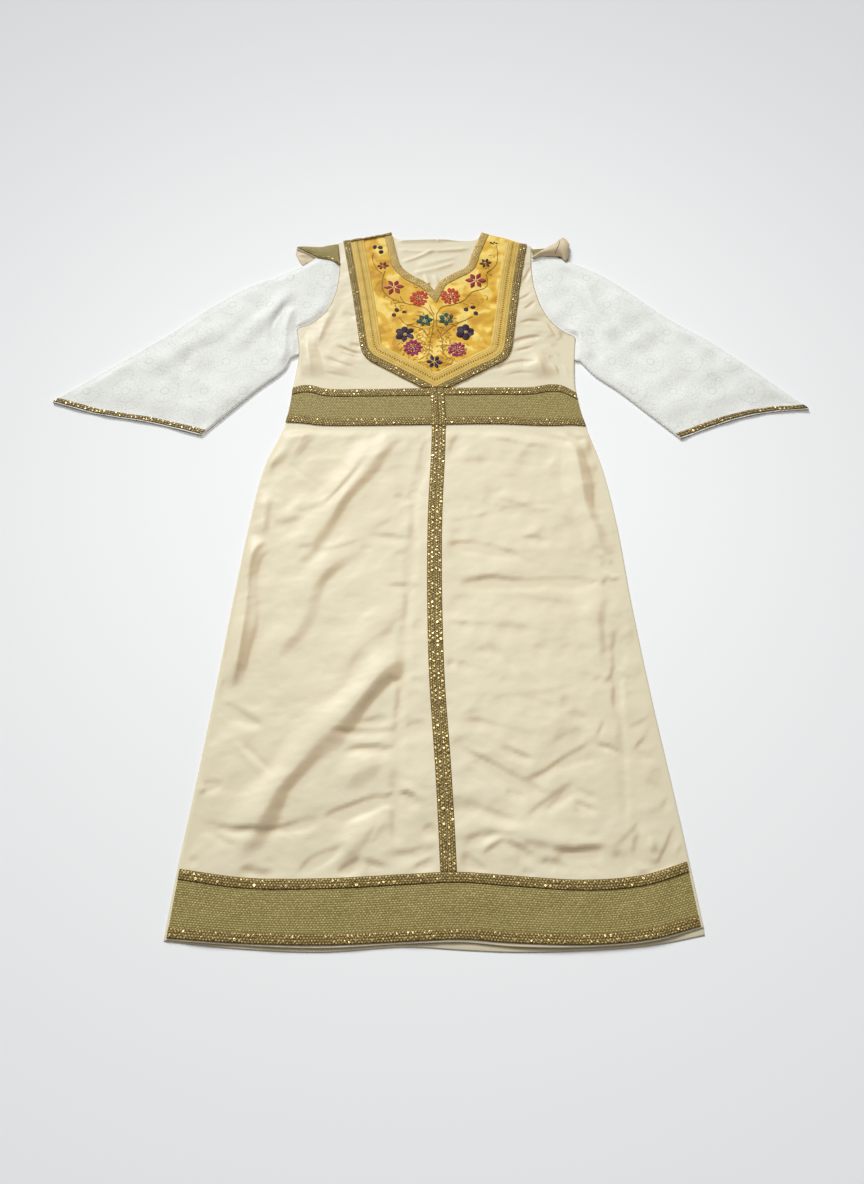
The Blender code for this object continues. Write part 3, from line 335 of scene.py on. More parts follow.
    (2, 26, 12, ((34, 168), (86, 159), (141, 146), (192, 138), (255, 136))),
    (-2.4, 8, 16, ((100, 144), (117, 134), (134, 122), (149, 126))),
    (-2.6, 7, 18, ((34, 126), (55, 111), (78, 97))),
    (-2.2, 6, 14, ((146, 105), (165, 112), (182, 107), (190, 96))),
    (-1.8, 6, 14, ((200, 263), (223, 267), (241, 264))),
    (-2.4, 7, 18, ((100, 219), (119, 213), (139, 207))),
    (-2.2, 7, 14, ((226, 856), (240, 839), (262, 831))),
)
# Broad folds whose flanks slope alike all over.
SLANTS = (
    (6.6, 20, 30, ((-281, 643), (-304, 615), (-310, 577), (-310, 529), (-313, 467), (-317, 407),
        (-322, 374))),
    (3.8, 17, 30, ((211, 841), (235, 824), (243, 792), (248, 746), (253, 701), (264, 663), (277, 621),
        (283, 603))),
    (4, 15, 24, ((-206, 858), (-232, 838), (-246, 812), (-262, 790))),
    (5.6, 20, 32, ((-241, 1073), (-238, 1040), (-232, 1000), (-222, 944))),
    (4.4, 16, 31, ((181, 1026), (187, 992), (203, 948))),
)
BODICE_CREASES = (
    (1.4, 12, 20, ((-193, 1131), (-206, 1083), (-215, 1052), (-221, 1028))),
    (-2.56, 4, 12, ((-185, 1037), (-169, 1026), (-136, 1013))),
    (-2.56, 4, 12, ((-179, 1022), (-161, 1013), (-134, 1006))),
    (-1.92, 4, 12, ((-162, 1039), (-148, 1035), (-135, 1029))),
    (-2.08, 4, 14, ((-209, 977), (-173, 969), (-128, 958))),
    (-1.76, 4, 12, ((-173, 962), (-149, 954), (-124, 945))),
    (-2.56, 9, 4, ((-245, 979), (-238, 962), (-232, 947))),
    (-1.92, 9, 4, ((-256, 996), (-254, 979), (-251, 958))),
    (-2.08, 9, 4, ((-250, 1065), (-247, 1052), (-243, 1037))),
    (-1.44, 6, 16, ((-210, 1013), (-178, 996), (-143, 983))),
    (-1.28, 6, 14, ((-175, 1114), (-164, 1105), (-146, 1100))),
    (-1.6, 5, 12, ((-225, 1091), (-214, 1105), (-197, 1114))),
    (-2.56, 4, 12, ((133, 1039), (155, 1049), (183, 1055), (198, 1052))),
    (-1.92, 4, 12, ((136, 1020), (157, 1026), (182, 1034))),
    (-2.08, 4, 12, ((100, 978), (128, 994), (156, 1000), (184, 996))),
    (-1.92, 4, 12, ((75, 946), (99, 950), (127, 953), (151, 950))),
    (-2.08, 10, 4, ((202, 1091), (210, 1074), (222, 1052))),
    (-2.08, 10, 4, ((223, 1065), (237, 1051), (253, 1030))),
    (-2.4, 12, 4, ((207, 1039), (230, 1013), (239, 979))),
    (-3.2, 12, 4, ((201, 1013), (219, 987), (228, 954), (248, 937))),
    (-2.08, 10, 4, ((179, 1218), (167, 1191), (157, 1172))),
    (-1.6, 4, 10, ((145, 1136), (165, 1145), (180, 1159))),
    (-1.6, 5, 14, ((149, 1083), (174, 1091), (199, 1087))),
    (-1.6, 5, 14, ((117, 967), (152, 975), (183, 971))),
    (-1.44, 5, 12, ((160, 1114), (175, 1127), (186, 1136))),
    (-1.6, 12, 5, ((213, 1022), (233, 996), (245, 962))),
)
NECK_CREASES = (
    (1.76, 8, 8, ((-82, 1282), (-23, 1285), (67, 1287))),
    (1.6, 8, 8, ((-80, 1261), (-23, 1258), (66, 1264))),
    (2.08, 9, 7, ((-72, 1230), (-44, 1240), (0, 1264))),
    (1.76, 7, 9, ((-50, 1203), (-2, 1216), (39, 1232))),
    (1.44, 8, 8, ((-26, 1207), (-18, 1186), (-14, 1169))),
    (1.44, 8, 8, ((-8, 1203), (-1, 1190), (3, 1177))),
    (0.9, 11, 11, ((-43, 1220), (-23, 1227), (45, 1246))),
)
SLEEVE_CREASES = ((
    (5, 22, 30, ((-268, 1175), (-301, 1116), (-346, 1055), (-384, 1012))),
    (-2.5, 9, 9, ((-280, 1134), (-305, 1073), (-294, 1012))),
    (3.5, 10, 14, ((-265, 1125), (-277, 1073), (-277, 1021), (-285, 987))),
    (-1.5, 6, 6, ((-257, 1108), (-262, 1073), (-261, 1038))),
    (3.5, 30, 36, ((-334, 1134), (-400, 1073), (-482, 1012), (-545, 962))),
    (2.5, 30, 30, ((-322, 971), (-386, 913), (-417, 881))),
    (-1.6, 18, 18, ((-307, 1099), (-329, 1064), (-344, 1029))),
    (-1.2, 20, 20, ((-450, 1038), (-458, 987), (-473, 929))),
    (2, 30, 30, ((-572, 1012), (-594, 962), (-617, 929))),
), (
    (4.5, 26, 22, ((240, 1191), (271, 1150), (306, 1087), (331, 1034))),
    (-2.2, 10, 10, ((234, 1214), (262, 1187), (288, 1141))),
    (3, 14, 14, ((249, 1078), (264, 1043), (283, 1000))),
    (-1.8, 8, 8, ((262, 1069), (282, 1034), (304, 1000))),
    (3.5, 34, 30, ((306, 1187), (378, 1087), (448, 1000), (504, 933))),
    (2.5, 30, 30, ((303, 983), (365, 924), (409, 879))),
    (-1.4, 18, 18, ((353, 1043), (398, 983), (427, 924))),
    (2, 30, 30, ((428, 1087), (507, 1017), (569, 949))),
))
# The embroidery: a flower's kind, its thread, its middle and its radius, in millimetres.
FLOWERS = (
    ("bead", "plum", -119, 1264, 5.0),
    ("bead", "plum", -109, 1262, 5.0),
    ("bead", "plum", -107, 1251, 5.0),
    ("six", "wine", -103, 1217, 10.5),
    ("sprig", "plum", 107, 1271, 9.6),
    ("six", "brown", 92, 1223, 10.5),
    ("six", "crimson", -81, 1167, 17.0),
    ("six", "crimson", 73, 1181, 17.0),
    ("round", "coral", -33, 1140, 16.5),
    ("round", "coral", 25, 1143, 16.5),
    ("bead", "plum", -75, 1113, 4.8),
    ("bead", "plum", -61, 1107, 4.5),
    ("bead", "plum", -80, 1101, 4.3),
    ("bead", "plum", 54, 1114, 4.7),
    ("bead", "plum", 67, 1119, 5.0),
    ("bead", "plum", 72, 1105, 5.0),
    ("star", "teal", -23, 1088, 13.9),
    ("star", "teal", 17, 1092, 13.9),
    ("blunt", "purple", -59, 1057, 15.8),
    ("blunt", "purple", 53, 1063, 16.6),
    ("round", "magenta", -44, 1027, 15.7),
    ("round", "magenta", 37, 1023, 15.7),
    ("six", "navy", -5, 996, 13.6),
)
# The points that the stems run through, in millimetres.
STEMS = (
    ((-122, 1248), (-123, 1233), (-114, 1209), (-104, 1198)),
    ((-99, 1204), (-103, 1183), (-101, 1158), (-83, 1139), (-56, 1128), (-26, 1120), (-14, 1108), (-7, 1097)),
    ((114, 1265), (116, 1243), (111, 1217), (94, 1200)),
    ((94, 1194), (95, 1181), (92, 1166), (65, 1153), (51, 1135), (31, 1125), (9, 1119), (0, 1104)),
    ((-6, 1097), (-8, 1067), (-13, 1039), (-15, 1011)),
    ((-1, 1104), (0, 1075), (8, 1051), (11, 1011)),
    ((11, 1017), (19, 1005), (29, 1001), (24, 989)),
    ((-14, 1124), (-11, 1114), (-5, 1101)),
    ((-70, 1095), (-57, 1079), (-39, 1074), (-22, 1063), (-16, 1051)),
    ((66, 1097), (44, 1086), (31, 1078), (9, 1055)),
    ((-69, 1145), (-64, 1135), (-59, 1129)),
)
# Sprays of small leaves: how many pairs, and the points that they run through, in millimetres.
LEAFY = (
    (7, ((-11, 1035), (-22, 1003), (-15, 979))),
    (7, ((11, 1035), (20, 1007), (7, 979))),
    (6, ((-22, 1091), (-29, 1059), (-35, 1039))),
    (6, ((14, 1075), (7, 1043), (21, 1027))),
    (9, ((-7, 1093), (-11, 1067), (-13, 1035), (-15, 1015))),
    (9, ((-2, 1091), (3, 1059), (4, 1027), (3, 999))),
    (8, ((-9, 1079), (-22, 1059), (-25, 1035), (-22, 1011))),
    (9, ((1, 1075), (17, 1059), (27, 1043), (11, 1019))),
    (5, ((-26, 1108), (-39, 1091), (-42, 1075))),
    (5, ((11, 1108), (31, 1091), (37, 1075))),
    (7, ((-55, 1079), (-39, 1059), (-25, 1027))),
    (6, ((34, 1083), (21, 1059), (11, 1035))),
    (6, ((-41, 1007), (-25, 991), (-12, 983))),
    (6, ((30, 1007), (17, 987), (4, 983))),
    (4, ((-56, 1108), (-69, 1116), (-76, 1128))),
    (5, ((-100, 1149), (-83, 1133), (-69, 1124))),
    (4, ((-43, 1166), (-26, 1179), (-12, 1158))),
    (5, ((95, 1145), (74, 1128), (58, 1124))),
    (4, ((-112, 1230), (-114, 1209), (-104, 1187))),
    (4, ((107, 1243), (96, 1222), (96, 1200))),
    (6, ((-68, 1039), (-54, 1011), (-35, 995))),
    (6, ((53, 1039), (43, 1011), (27, 991))),
)
# A sprig's leaves: their places from its middle, in millimetres, and their angles.
SPRIG = ((-6, 0, 0.6), (-3, 1, -0.5), (1, 0, 0.9), (4, 1, -0.3), (-1, -1, 2.4))
# Name of a braid, distance between its sequins, their rows as shares of its width, their radius and how
# many of them are left.
SEQUIN_ROWS = (
    ("hem_braid_low", 0.0078, (0.28, 0.72), 0.0017, 0.55),
    ("hem_braid_high", 0.0078, (0.28, 0.72), 0.0017, 0.5),
    ("centre_row_left", 0.0080, (0.27, 0.73), 0.0018, 0.75),
    ("centre_row_right", 0.0080, (0.27, 0.73), 0.0018, 0.75),
    ("waist_braid_low", 0.0078, (0.28, 0.72), 0.0015, 0.4),
    ("waist_braid_high", 0.0078, (0.28, 0.72), 0.0015, 0.4),
    ("chest_edge_braid", 0.0085, (0.28, 0.72), 0.0014, 0.35),
    ("shoulder_trim", 0.0070, (0.5,), 0.0015, 0.6),
    ("cuff_braid_left", 0.0072, (0.3, 0.72), 0.0017, 0.55),
    ("cuff_braid_right", 0.0072, (0.3, 0.72), 0.0017, 0.55),
)

# Columns of HEMS, the grid of the skirt's front, and how far in from the back its left side lies.
BACK_EDGE, FRONT_EDGE = 1, 2
SKIRT_COLUMNS, SKIRT_ROWS, SIDE_SEAM = 203, 234, 0.003
# The grids of the skirt's back and of the bodice's halves, and the columns and rows of the bands.
BACK_GRID, FRONT_HALF, BACK_HALF = (61, 71), (180, 124), (160, 106)
HEM_COLUMNS, WAIST_COLUMNS, BAND_ROWS = 217, 181, 26
# How far below the waist band the middle rows start to climb. How high the chest's braids lie over the
# velvet, and how far from its neighbours the shoulder's trim starts and ends.
CLIMB, CHEST_LIFT, TRIM_GAPS = 0.006, 0.0004, (0.001, 0.0015)
LEAST_ROUND = 0.002  # the least that a corner of the chest's braids is rounded by
# How a cloth's rim is thinned, as shares of its wall, and how far in a braid's or a wing's rim starts.
RIM_DROP, RIM_RISE, THIN_RIM = 0.3, 0.2, 0.0006
# Braids: one narrower than this is an edging and no sheet of its own, how much longer and wider than they
# look they are cut, how closely their points lie, and how much thinner and rounder than the solid they are.
NARROWEST, SEWN, TURNED_IN, RIBBON_STEP = 0.010, 1.02, 1.03, 0.004
THINNER, BRAID_CROWN, EDGE_DROP = 0.0007, 0.0002, 0.0004
# How the front cloth lies: how high it is puffed up and how far from the side that takes, how soon it rises
# from its seams and from the waist band's two edges, and how flat the band holds it.
PUFF, PUFF_EASE, SEAM_EASE, WAIST_EASE, HELD_FLAT = 0.0020, 0.05, 0.012, (0.016, 0.035), 0.12
# Its waves (height, seed, length) and its low ridges (height, seed, how far they are drawn out across,
# length).
WAVES = ((0.0006, 3, 0.12), (0.0003, 4, 0.045))
RIDGES = ((0.0004, 5, 0.6, 0.075), (0.00025, 6, 0.7, 0.026))
RIDGE_LEVEL = 0.6
# Its long faint lines: their height, how far they are drawn out, their slope or how close they lie, their
# seed and length. Then how far from the middle line they start.
LEVEL_LINES, LEANING_LINES = (0.00030, 0.09, 0.06, 8, 0.045), (0.00024, 0.07, 0.6, 9, 0.048)
MIDDLE_CLEAR = 0.02
VELVET_WAVES = ((0.0005, 11, 0.030), (0.0002, 12, 0.010))  # heights, seeds and lengths
# Where the back's inside shows: half its width, its lowest and highest height, and how soon each edge fades.
NECK_HALF, NECK_LOW, NECK_HIGH, NECK_FADES = 0.085, 1.13, 1.292, (0.02, 0.03, 0.006)
ROSETTE_START, ROSETTE_PITCH = (-0.300 - 0.035, 0.354 - 0.032, 0), (0.070, 0.064)
# The wide braid's zigzag: its pitch, how far it swings and where, and the places of the light lines.
ZIGZAG, ZIGZAG_SWING, ZIGZAG_START, THIN_LINES = 0.0100, 0.0085, 0.0105, (0.0020, 0.0070, 0.0190, 0.0240)
THREADS_APART = 0.11  # the distance between the threads of a petal, as a share of its length
# Painted shade on the satin: how a fold's depth and a slope turned away from the light darken the cloth's
# colour, the slope below which none is painted, the most that each does, and the way to the light.
HOLLOW_SHADE_DEPTH, AWAY_SHADE_SLOPE, UNSHADED_SLOPE, LIGHT_FROM = 0.010, 0.30, 0.05, (-0.75, 0.66)
MOST_HOLLOW_SHADE, MOST_AWAY_SHADE = 0.3, 0.7
CRISP_FLANK = 0.012  # a flank narrower than this drops sharply from the crease's line
# The armhole's stitching is drawn darker than the satin, partly as a painted shadow line along the seam.
SEAM_IN, SEAM_CORD = 0.0010, 0.0005  # the armhole's stitching: how far inside the edge, and its radius
UNDERARM_ROUND = 0.012
# Creases narrower than BROAD fade over SHORT_END at both ends, but over no more than a share of their length.
BROAD, SHORT_END, LONGEST_END = 0.015, 0.020, 0.42
WIDTH_SWAY, HEIGHT_SWAY, SWAY_LENGTH = 0.20, 0.22, 0.026  # how unevenly a crease runs
# A stem's radius, how high its middle lies as a share of that, and how far apart its points are.
STEM, STEM_RAISED, STEM_STEP = 0.0006, 0.4, 0.0025
BEND_ALLOWED = 1.03  # how much longer and wider a bent wing's cut is than it looks from above
HEAD_SINK = 0.0016  # the sleeve's head lies this much lower than the sleeve, under the armhole's edge
CUFF_SAG = 0.0030  # the sleeve's upper side sinks this far near the cuff's open end
# How high the sleeve is puffed up and its waves are, how far from its head that takes, and from its cuff.
SLEEVE_PUFF, SLEEVE_WAVE, HEAD_EASE, CUFF_EASE = 0.0020, 0.0008, 0.012, (0.014, 0.050)
# How far in from its folds the sleeve is puffed up, sunk and sagging, the angles round a fold, and how the
# points are spread along its head.
PUFF_IN, SINK_IN, SAG_IN, FOLD_TURNS, HEAD_SPREAD = 0.018, 0.006, 0.020, (-50, 0, 50), 1.25
FACE_RISE, LINING_RISE = 0.0035, 0.008  # how high the left wing's face and the right wing's lining bulge
# Small folds of the left wing's lining, and the places of three sequins on its face.
LINING_FOLDS = (
    (3.0, 3, 7, ((-269.0, 1258.1), (-255.3, 1257.2), (-238.8, 1248.3), (-231.1, 1240.8))),
    (2.6, 3, 6, ((-267.3, 1249.6), (-254.9, 1248.6), (-242.2, 1241.4))),
    (1.6, 3, 5, ((-264.3, 1241.4), (-252.8, 1232.9), (-247.0, 1225.1))),
)
WING_SEQUINS = ((-0.2166, 1.2443), (-0.2074, 1.2396), (-0.1992, 1.2343))
LINING_SEAM = (0.2252, 0.2358)  # how far right of the middle line the right lining's seam starts and ends
# Sequins: how high they lie, how far they stray along the braid and, as a share of its width, across it, how
# far askew they lie, how their sizes vary, how much bigger and how common the big ones are, and how far from
# the braid's end they stop.
SEQUIN_LIFT, STRAY, ASKEW, SEQUIN_SIZES = 0.0006, (0.0006, 0.03), 0.16, (0.8, 1.1)
BIG, BIG_SHARE, END_CLEAR = 1.35, 0.12, 0.003
# Stitches: how high they are padded and how deep they sit in the velvet, how much fuller than its charted
# size a flower is, and how its petals stray from their angles and vary in size.
STITCH_HIGH, STITCH_SUNK, FULLER, PETAL_STRAY, UNEVEN = 0.0009, 0.0001, 1.12, 0.04, (0.92, 1.08)
# Leaves of the sprays: their angles from the stem, lengths and widths, and how much deeper they sit. Then the
# length and width of a sprig's leaf.
LEAF_TURNS, LEAF_LENGTHS, LEAF_WIDTHS, LEAF_SUNK = (0.5, 1.0), (0.007, 0.012), (0.0026, 0.0040), 0.0003
SPRIG_LEAF = (0.0065, 0.0028)
# Petals, with how far each is narrowed at its root and at its tip. Then the petal and its width for each
# kind of flower of six petals.
PETALS = (("plump", 0.55, 0.10), ("leaf", 0.75, 0.85), ("bead", 0.15, 0.15))
SIX_PETALS = {"six": ("leaf", 0.50), "blunt": ("plump", 0.78), "star": ("leaf", 0.62)}
braids = {}  # each braid's points by its name, for its sequins


def hermite(knots, values, at):
    """A smooth curve through values at rising knots, read at each place in at."""
    knots, values, at = np.asarray(knots, float), np.asarray(values, float), np.asarray(at, float)
    steps = np.diff(knots)
    slopes = np.diff(values, axis=0) / steps.reshape(-1, *[1] * (values.ndim - 1))
    tangents = np.concatenate([slopes[:1], (slopes[:-1] + slopes[1:]) / 2, slopes[-1:]])
    i = np.clip(np.searchsorted(knots, at, side="right") - 1, 0, len(steps) - 1)
    t, h = np.clip((at - knots[i]) / steps[i], 0, 1), steps[i]
    if values.ndim > 1:
        t, h = t[..., None], h[..., None]
    return (
        (2 * t**3 - 3 * t**2 + 1) * values[i]
        + (t**3 - 2 * t**2 + t) * h * tangents[i]
        + (3 * t**2 - 2 * t**3) * values[i + 1]
        + (t**3 - t**2) * h * tangents[i + 1]
    )


def lengths_of(points):
    """How far along a line each of its points lies."""
    return np.concatenate([[0], np.cumsum(np.linalg.norm(np.diff(points, axis=0), axis=1))])


def unit(vectors):
    return vectors / np.linalg.norm(vectors, axis=-1, keepdims=True)


def path(points, fractions):
    """Points at fractions of the length of a smooth curve through the given points."""
    points = np.asarray(points, float)
    along = lengths_of(points)
    return hermite(along / along[-1], points, fractions)


def straight(points, fractions):
    """Points at fractions of the length of the straight runs between the given points."""
    points = np.asarray(points, float)
    along = lengths_of(points)
    at = np.asarray(fractions) * along[-1]
    return np.stack([np.interp(at, along, points[:, k]) for k in range(points.shape[1])], axis=-1)


def bezier(start, first, second, end, count):
    t = np.linspace(0, 1, count)[:, None]
    start, first, second, end = map(np.asarray, (start, first, second, end))
    return (1 - t) ** 3 * start + 3 * (1 - t) ** 2 * t * first + 3 * (1 - t) * t**2 * second + t**3 * end


def column(table, number, at):
    """One column of a table, read smoothly at places down its first column."""
    rows = np.array(table)
    return hermite(rows[:, 0], rows[:, number], at)


def side(up, right):
    return column(SIDES, 2, up) if right else -column(SIDES, 1, up)


def middle(up):
    return column(MIDDLE, 1, up)


def armhole(right):
    """The armhole's edge from the underarm up to the shoulder."""
    return bezier(UNDERARMS[right], *ARMHOLES[right], SHOULDERS[right], 60)


def across_up(plan):
    return plan[..., 0], plan[..., 1]


def smooth(x):
    x = np.clip(x, 0, 1)
    return x * x * (3 - 2 * x)


def offset(line, distance):
    """A line moved to its left by a distance, with mitred corners."""
    line = np.asarray(line, float)
    runs = unit(np.diff(line, axis=0))
    normals = np.stack([-runs[:, 1], runs[:, 0]], axis=1)
    before, after = np.concatenate([normals[:1], normals]), np.concatenate([normals, normals[-1:]])
    mitre = before + after
    return line + mitre / (mitre * before).sum(axis=1)[:, None] * distance


def corner_curve(start, corner, end, count):
    """A corner rounded between two points on its sides."""
    t = np.linspace(0, 1, count)[:, None]
    return (1 - t) ** 2 * start + 2 * t * (1 - t) * corner + t**2 * end


def rounded(line, corner, reach):
    """A line with one of its corners rounded, from a distance before it to the same distance after."""
    along = lengths_of(line)
    low, high = along[corner] - reach, along[corner] + reach
    start, end = (np.array([np.interp(at, along, line[:, k]) for k in (0, 1)]) for at in (low, high))
    return np.concatenate([line[along < low], corner_curve(start, line[corner], end, 9), line[along > high]])


def chest_line(inward):
    """The chest panel's outline moved in by a distance, with rounded corners and its point cut off."""
    at = offset([corner[:2] for corner in CHEST], inward)
    point = at[CHEST_POINT]
    foot = max(CHEST_FOOT, point[1] + SEAM)
    line = [at[0]]
    for i in range(1, len(at) - 1):
        if i == CHEST_POINT:
            for corner in (at[i - 1], at[i + 1]):
                line.append(point + (corner - point) * (foot - point[1]) / (corner[1] - point[1]))
            continue
        back, on = unit(at[i - 1] - at[i]), unit(at[i + 1] - at[i])
        turn = math.tan((math.pi - math.acos(back @ on)) / 2)
        reach = max(CHEST[i][2] - inward * turn, LEAST_ROUND)
        line += list(corner_curve(at[i] + back * reach, at[i], at[i] + on * reach, 7))
    return np.array(line + [at[-1]])


# ---- relief of the cloth


def crease_height(rows, across, up, level_flank=False):
    """Height of listed creases at each place. A row is a height, the widths of its flanks on the left
    and on the right of its run, and the points that it runs through, all in millimetres. A level flank slopes
    alike all over."""
    total = np.zeros(np.broadcast(across, up).shape)
    for height, left, right, points in rows:
        line = path(np.array(points) * MM, np.linspace(0, 1, 6 * len(points)))
        along = lengths_of(line)
        reach = max(left, right) * MM
        far_out = reach * (1 + WIDTH_SWAY)
        low, high = line.min(axis=0) - far_out, line.max(axis=0) + far_out
        near = (across > low[0]) & (across < high[0]) & (up > low[1]) & (up < high[1])
        if not near.any():
            continue
        x, y = across[near], up[near]
        best, off, run = np.ones(x.shape), np.zeros(x.shape), np.zeros(x.shape)
        for i, d in enumerate(np.diff(line, axis=0)):
            size = float(d @ d)
            t = np.clip(((x - line[i, 0]) * d[0] + (y - line[i, 1]) * d[1]) / size, 0, 1)
            dx, dy = x - line[i, 0] - t * d[0], y - line[i, 1] - t * d[1]
            far = np.hypot(dx, dy)
            closer = far < best
            best = np.where(closer, far, best)
            off = np.where(closer, np.sign(d[0] * dy - d[1] * dx) * far, off)
            run = np.where(closer, along[i] + t * math.sqrt(size), run)
        sway = np.sin(run / SWAY_LENGTH + points[0][0])
        width = np.where(off > 0, left, right) * MM * (1 + WIDTH_SWAY * sway)
        share = np.clip(best / width, 0, 1)
        soft = np.cos(share * math.pi / 2) ** 2
        crisp = (1 - share) ** 2 * (1 + 0.4 * share)
        across_it = 1 - share if level_flank else np.where(width <= CRISP_FLANK, crisp, soft)
        ends = min(LONGEST_END * along[-1], SHORT_END + 2 * max(reach - BROAD, 0))
        along_it = smooth(run / ends) * smooth((along[-1] - run) / ends)
        along_it *= 1 + HEIGHT_SWAY * np.sin(0.7 * run / SWAY_LENGTH + points[0][1])
        total[near] += height * MM * across_it * along_it
    return total


def ripple(across, up, seed, scale, count=24):
    """Gentle unevenness of laid cloth, from about -1 to 1, made of waves about scale long."""
    r = np.random.default_rng(seed)
    total = np.zeros(np.broadcast(across, up).shape)
    for _ in range(count):
        angle, phase = r.uniform(0, 2 * math.pi, 2)
        rate = 2 * math.pi / (scale * r.uniform(0.6, 1.6))
        total += np.sin((across * math.cos(angle) + up * math.sin(angle)) * rate + phase)
    return total / math.sqrt(count)


def front_lie(across, up):
    """How high the front cloth lies over the back without its creases, and how far they may rise there."""
    edge = np.minimum(across - side(up, False), side(up, True) - across)
    waist = np.maximum((WAIST_CLEAR[0] - up) / WAIST_EASE[0], (up - WAIST_CLEAR[1]) / WAIST_EASE[1])
    fade = smooth(edge / SEAM_EASE) * (HELD_FLAT + (1 - HELD_FLAT) * smooth(waist))
    lie = PUFF * smooth(edge / PUFF_EASE)
    for height, seed, long in WAVES:
        lie = lie + height * ripple(across, up, seed, long)
    for height, seed, drawn, long in RIDGES:
        lie = lie + height * (RIDGE_LEVEL - np.abs(ripple(across * drawn, up, seed, long)))
    # Long faint lines: level on the dress's right half, from high right to low left on the other.
    high, drawn, slope, seed, long = LEVEL_LINES
    level = high * ripple(across * drawn, up - slope * across, seed, long)
    high, drawn, close, seed, long = LEANING_LINES
    leaning = high * ripple((across - up) * close, (across + up) * drawn, seed, long)
    lie = lie + np.where(across > 0, level, leaning) * smooth(np.abs(across) / MIDDLE_CLEAR)
    return lie * fade, fade


def front_height(across, up):
    """Height of the front cloth over the back."""
    lie, fade = front_lie(across, up)
    creases = crease_height(SKIRT_CREASES + BODICE_CREASES, across, up)
    creases += crease_height(SLANTS, across, up, level_flank=True)
    return np.maximum(lie + creases * fade, 0)


# ---- building sheets


def grid_of(plan, top, uv=None, painted_shade=0.0):
    """One array of (x, y, z, u, v, painted shade) for a grid of plan points. u and v default to the plan
    itself.
    """
    top, painted_shade = np.broadcast_to(top, plan.shape[:2]), np.broadcast_to(painted_shade, plan.shape[:2])
    uv = plan if uv is None else uv
    return np.concatenate([plan, top[..., None], uv, painted_shade[..., None]], axis=2)


def painted_fold_shade(plan, top, reach=7):
    """Painted shade for the cloth's colour, from 0 to 1: more where its face is turned away from the light,
    and where it lies deep in a fold.
    """
    def softened(values, axis):
        width = 2 * reach + 1
        ends = [(0, 0), (0, 0)]
        ends[axis] = (reach + 1, reach)
        total = np.cumsum(np.pad(values, ends, mode="edge"), axis=axis)
        ahead, behind = [slice(None)] * 2, [slice(None)] * 2
        ahead[axis], behind[axis] = slice(width, None), slice(None, -width)
        return (total[tuple(ahead)] - total[tuple(behind)]) / width

    around = softened(softened(top, 0), 1)
    rise = np.zeros(plan.shape)
    for axis in (0, 1):
        way = np.gradient(plan, axis=axis)
        rise += (np.gradient(top, axis=axis) / np.maximum((way**2).sum(axis=2), 1e-10))[..., None] * way
    facing_away = rise @ np.array(LIGHT_FROM)
    # Painted shade: darker deep in hollows, and on slopes turned away from the light.
    hollow_shade = np.clip((around - top) / HOLLOW_SHADE_DEPTH, 0, MOST_HOLLOW_SHADE)
    return hollow_shade + np.clip((facing_away - UNSHADED_SLOPE) / AWAY_SHADE_SLOPE, 0, MOST_AWAY_SHADE)


def with_rims(grid, inset=0.0009):
    """The grid with one more line of points just inside each of its four edges."""
    for axis in (0, 1):
        grid = np.moveaxis(grid, axis, 0)
        for end in (0, -1):
            edge, inner = (grid[0], grid[1]) if end == 0 else (grid[-1], grid[-2])
            length = np.maximum(np.linalg.norm((inner - edge)[:, :2], axis=1), 1e-6)
            line = edge + (inner - edge) * np.clip(inset / length, 0, 0.5)[:, None]
            at = 1 if end == 0 else len(grid) - 1
            grid = np.concatenate([grid[:at], line[None], grid[at:]])
        grid = np.moveaxis(grid, 0, axis)
    return grid


def quads(rows, columns):
    r, c = np.meshgrid(np.arange(rows - 1), np.arange(columns - 1), indexing="ij")
    a = (r * columns + c).ravel()
    return np.stack([a, a + 1, a + columns + 1, a + columns], axis=1)


def add_mesh(name, points, faces, uv, finish, painted_shade=None):
    """A mesh object in the dress's one body, from points, faces and each point's place in the pattern."""
    mesh = bpy.data.meshes.new(name)
    points, faces = np.asarray(points, float), np.asarray(faces)
    mesh.from_pydata([], [], [])
    mesh.vertices.add(len(points))
    mesh.vertices.foreach_set("co", points.astype(np.float32).ravel())
    sides = faces.shape[1]
    mesh.loops.add(faces.size)
    mesh.loops.foreach_set("vertex_index", faces.astype(np.int32).ravel())
    mesh.polygons.add(len(faces))
    mesh.polygons.foreach_set("loop_start", np.arange(0, faces.size, sides, dtype=np.int32))
    mesh.update(calc_edges=True)
    mesh.validate()
    layer = mesh.uv_layers.new(name="Pattern")
    layer.data.foreach_set("uv", np.asarray(uv, float)[faces.ravel()].astype(np.float32).ravel())
    # Each point keeps the painted shade that its colour darkens by.
    if painted_shade is not None:
        mesh.attributes.new("painted_shade", "FLOAT", "POINT").data.foreach_set("value", painted_shade.astype(np.float32))
    mesh.shade_smooth()
    made = bpy.data.objects.new(name, mesh)
    bpy.context.scene.collection.objects.link(made)
    mesh.materials.append(finish)
    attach(made, "root")
    return made


def signed_area(plan):
    """The area of a grid of plan points, below 0 where its rows and columns turn the other way."""
    d1, d2 = plan[1:, 1:] - plan[:-1, :-1], plan[1:, :-1] - plan[:-1, 1:]
    return float((d1[..., 0] * d2[..., 1] - d1[..., 1] * d2[..., 0]).sum()) / 2


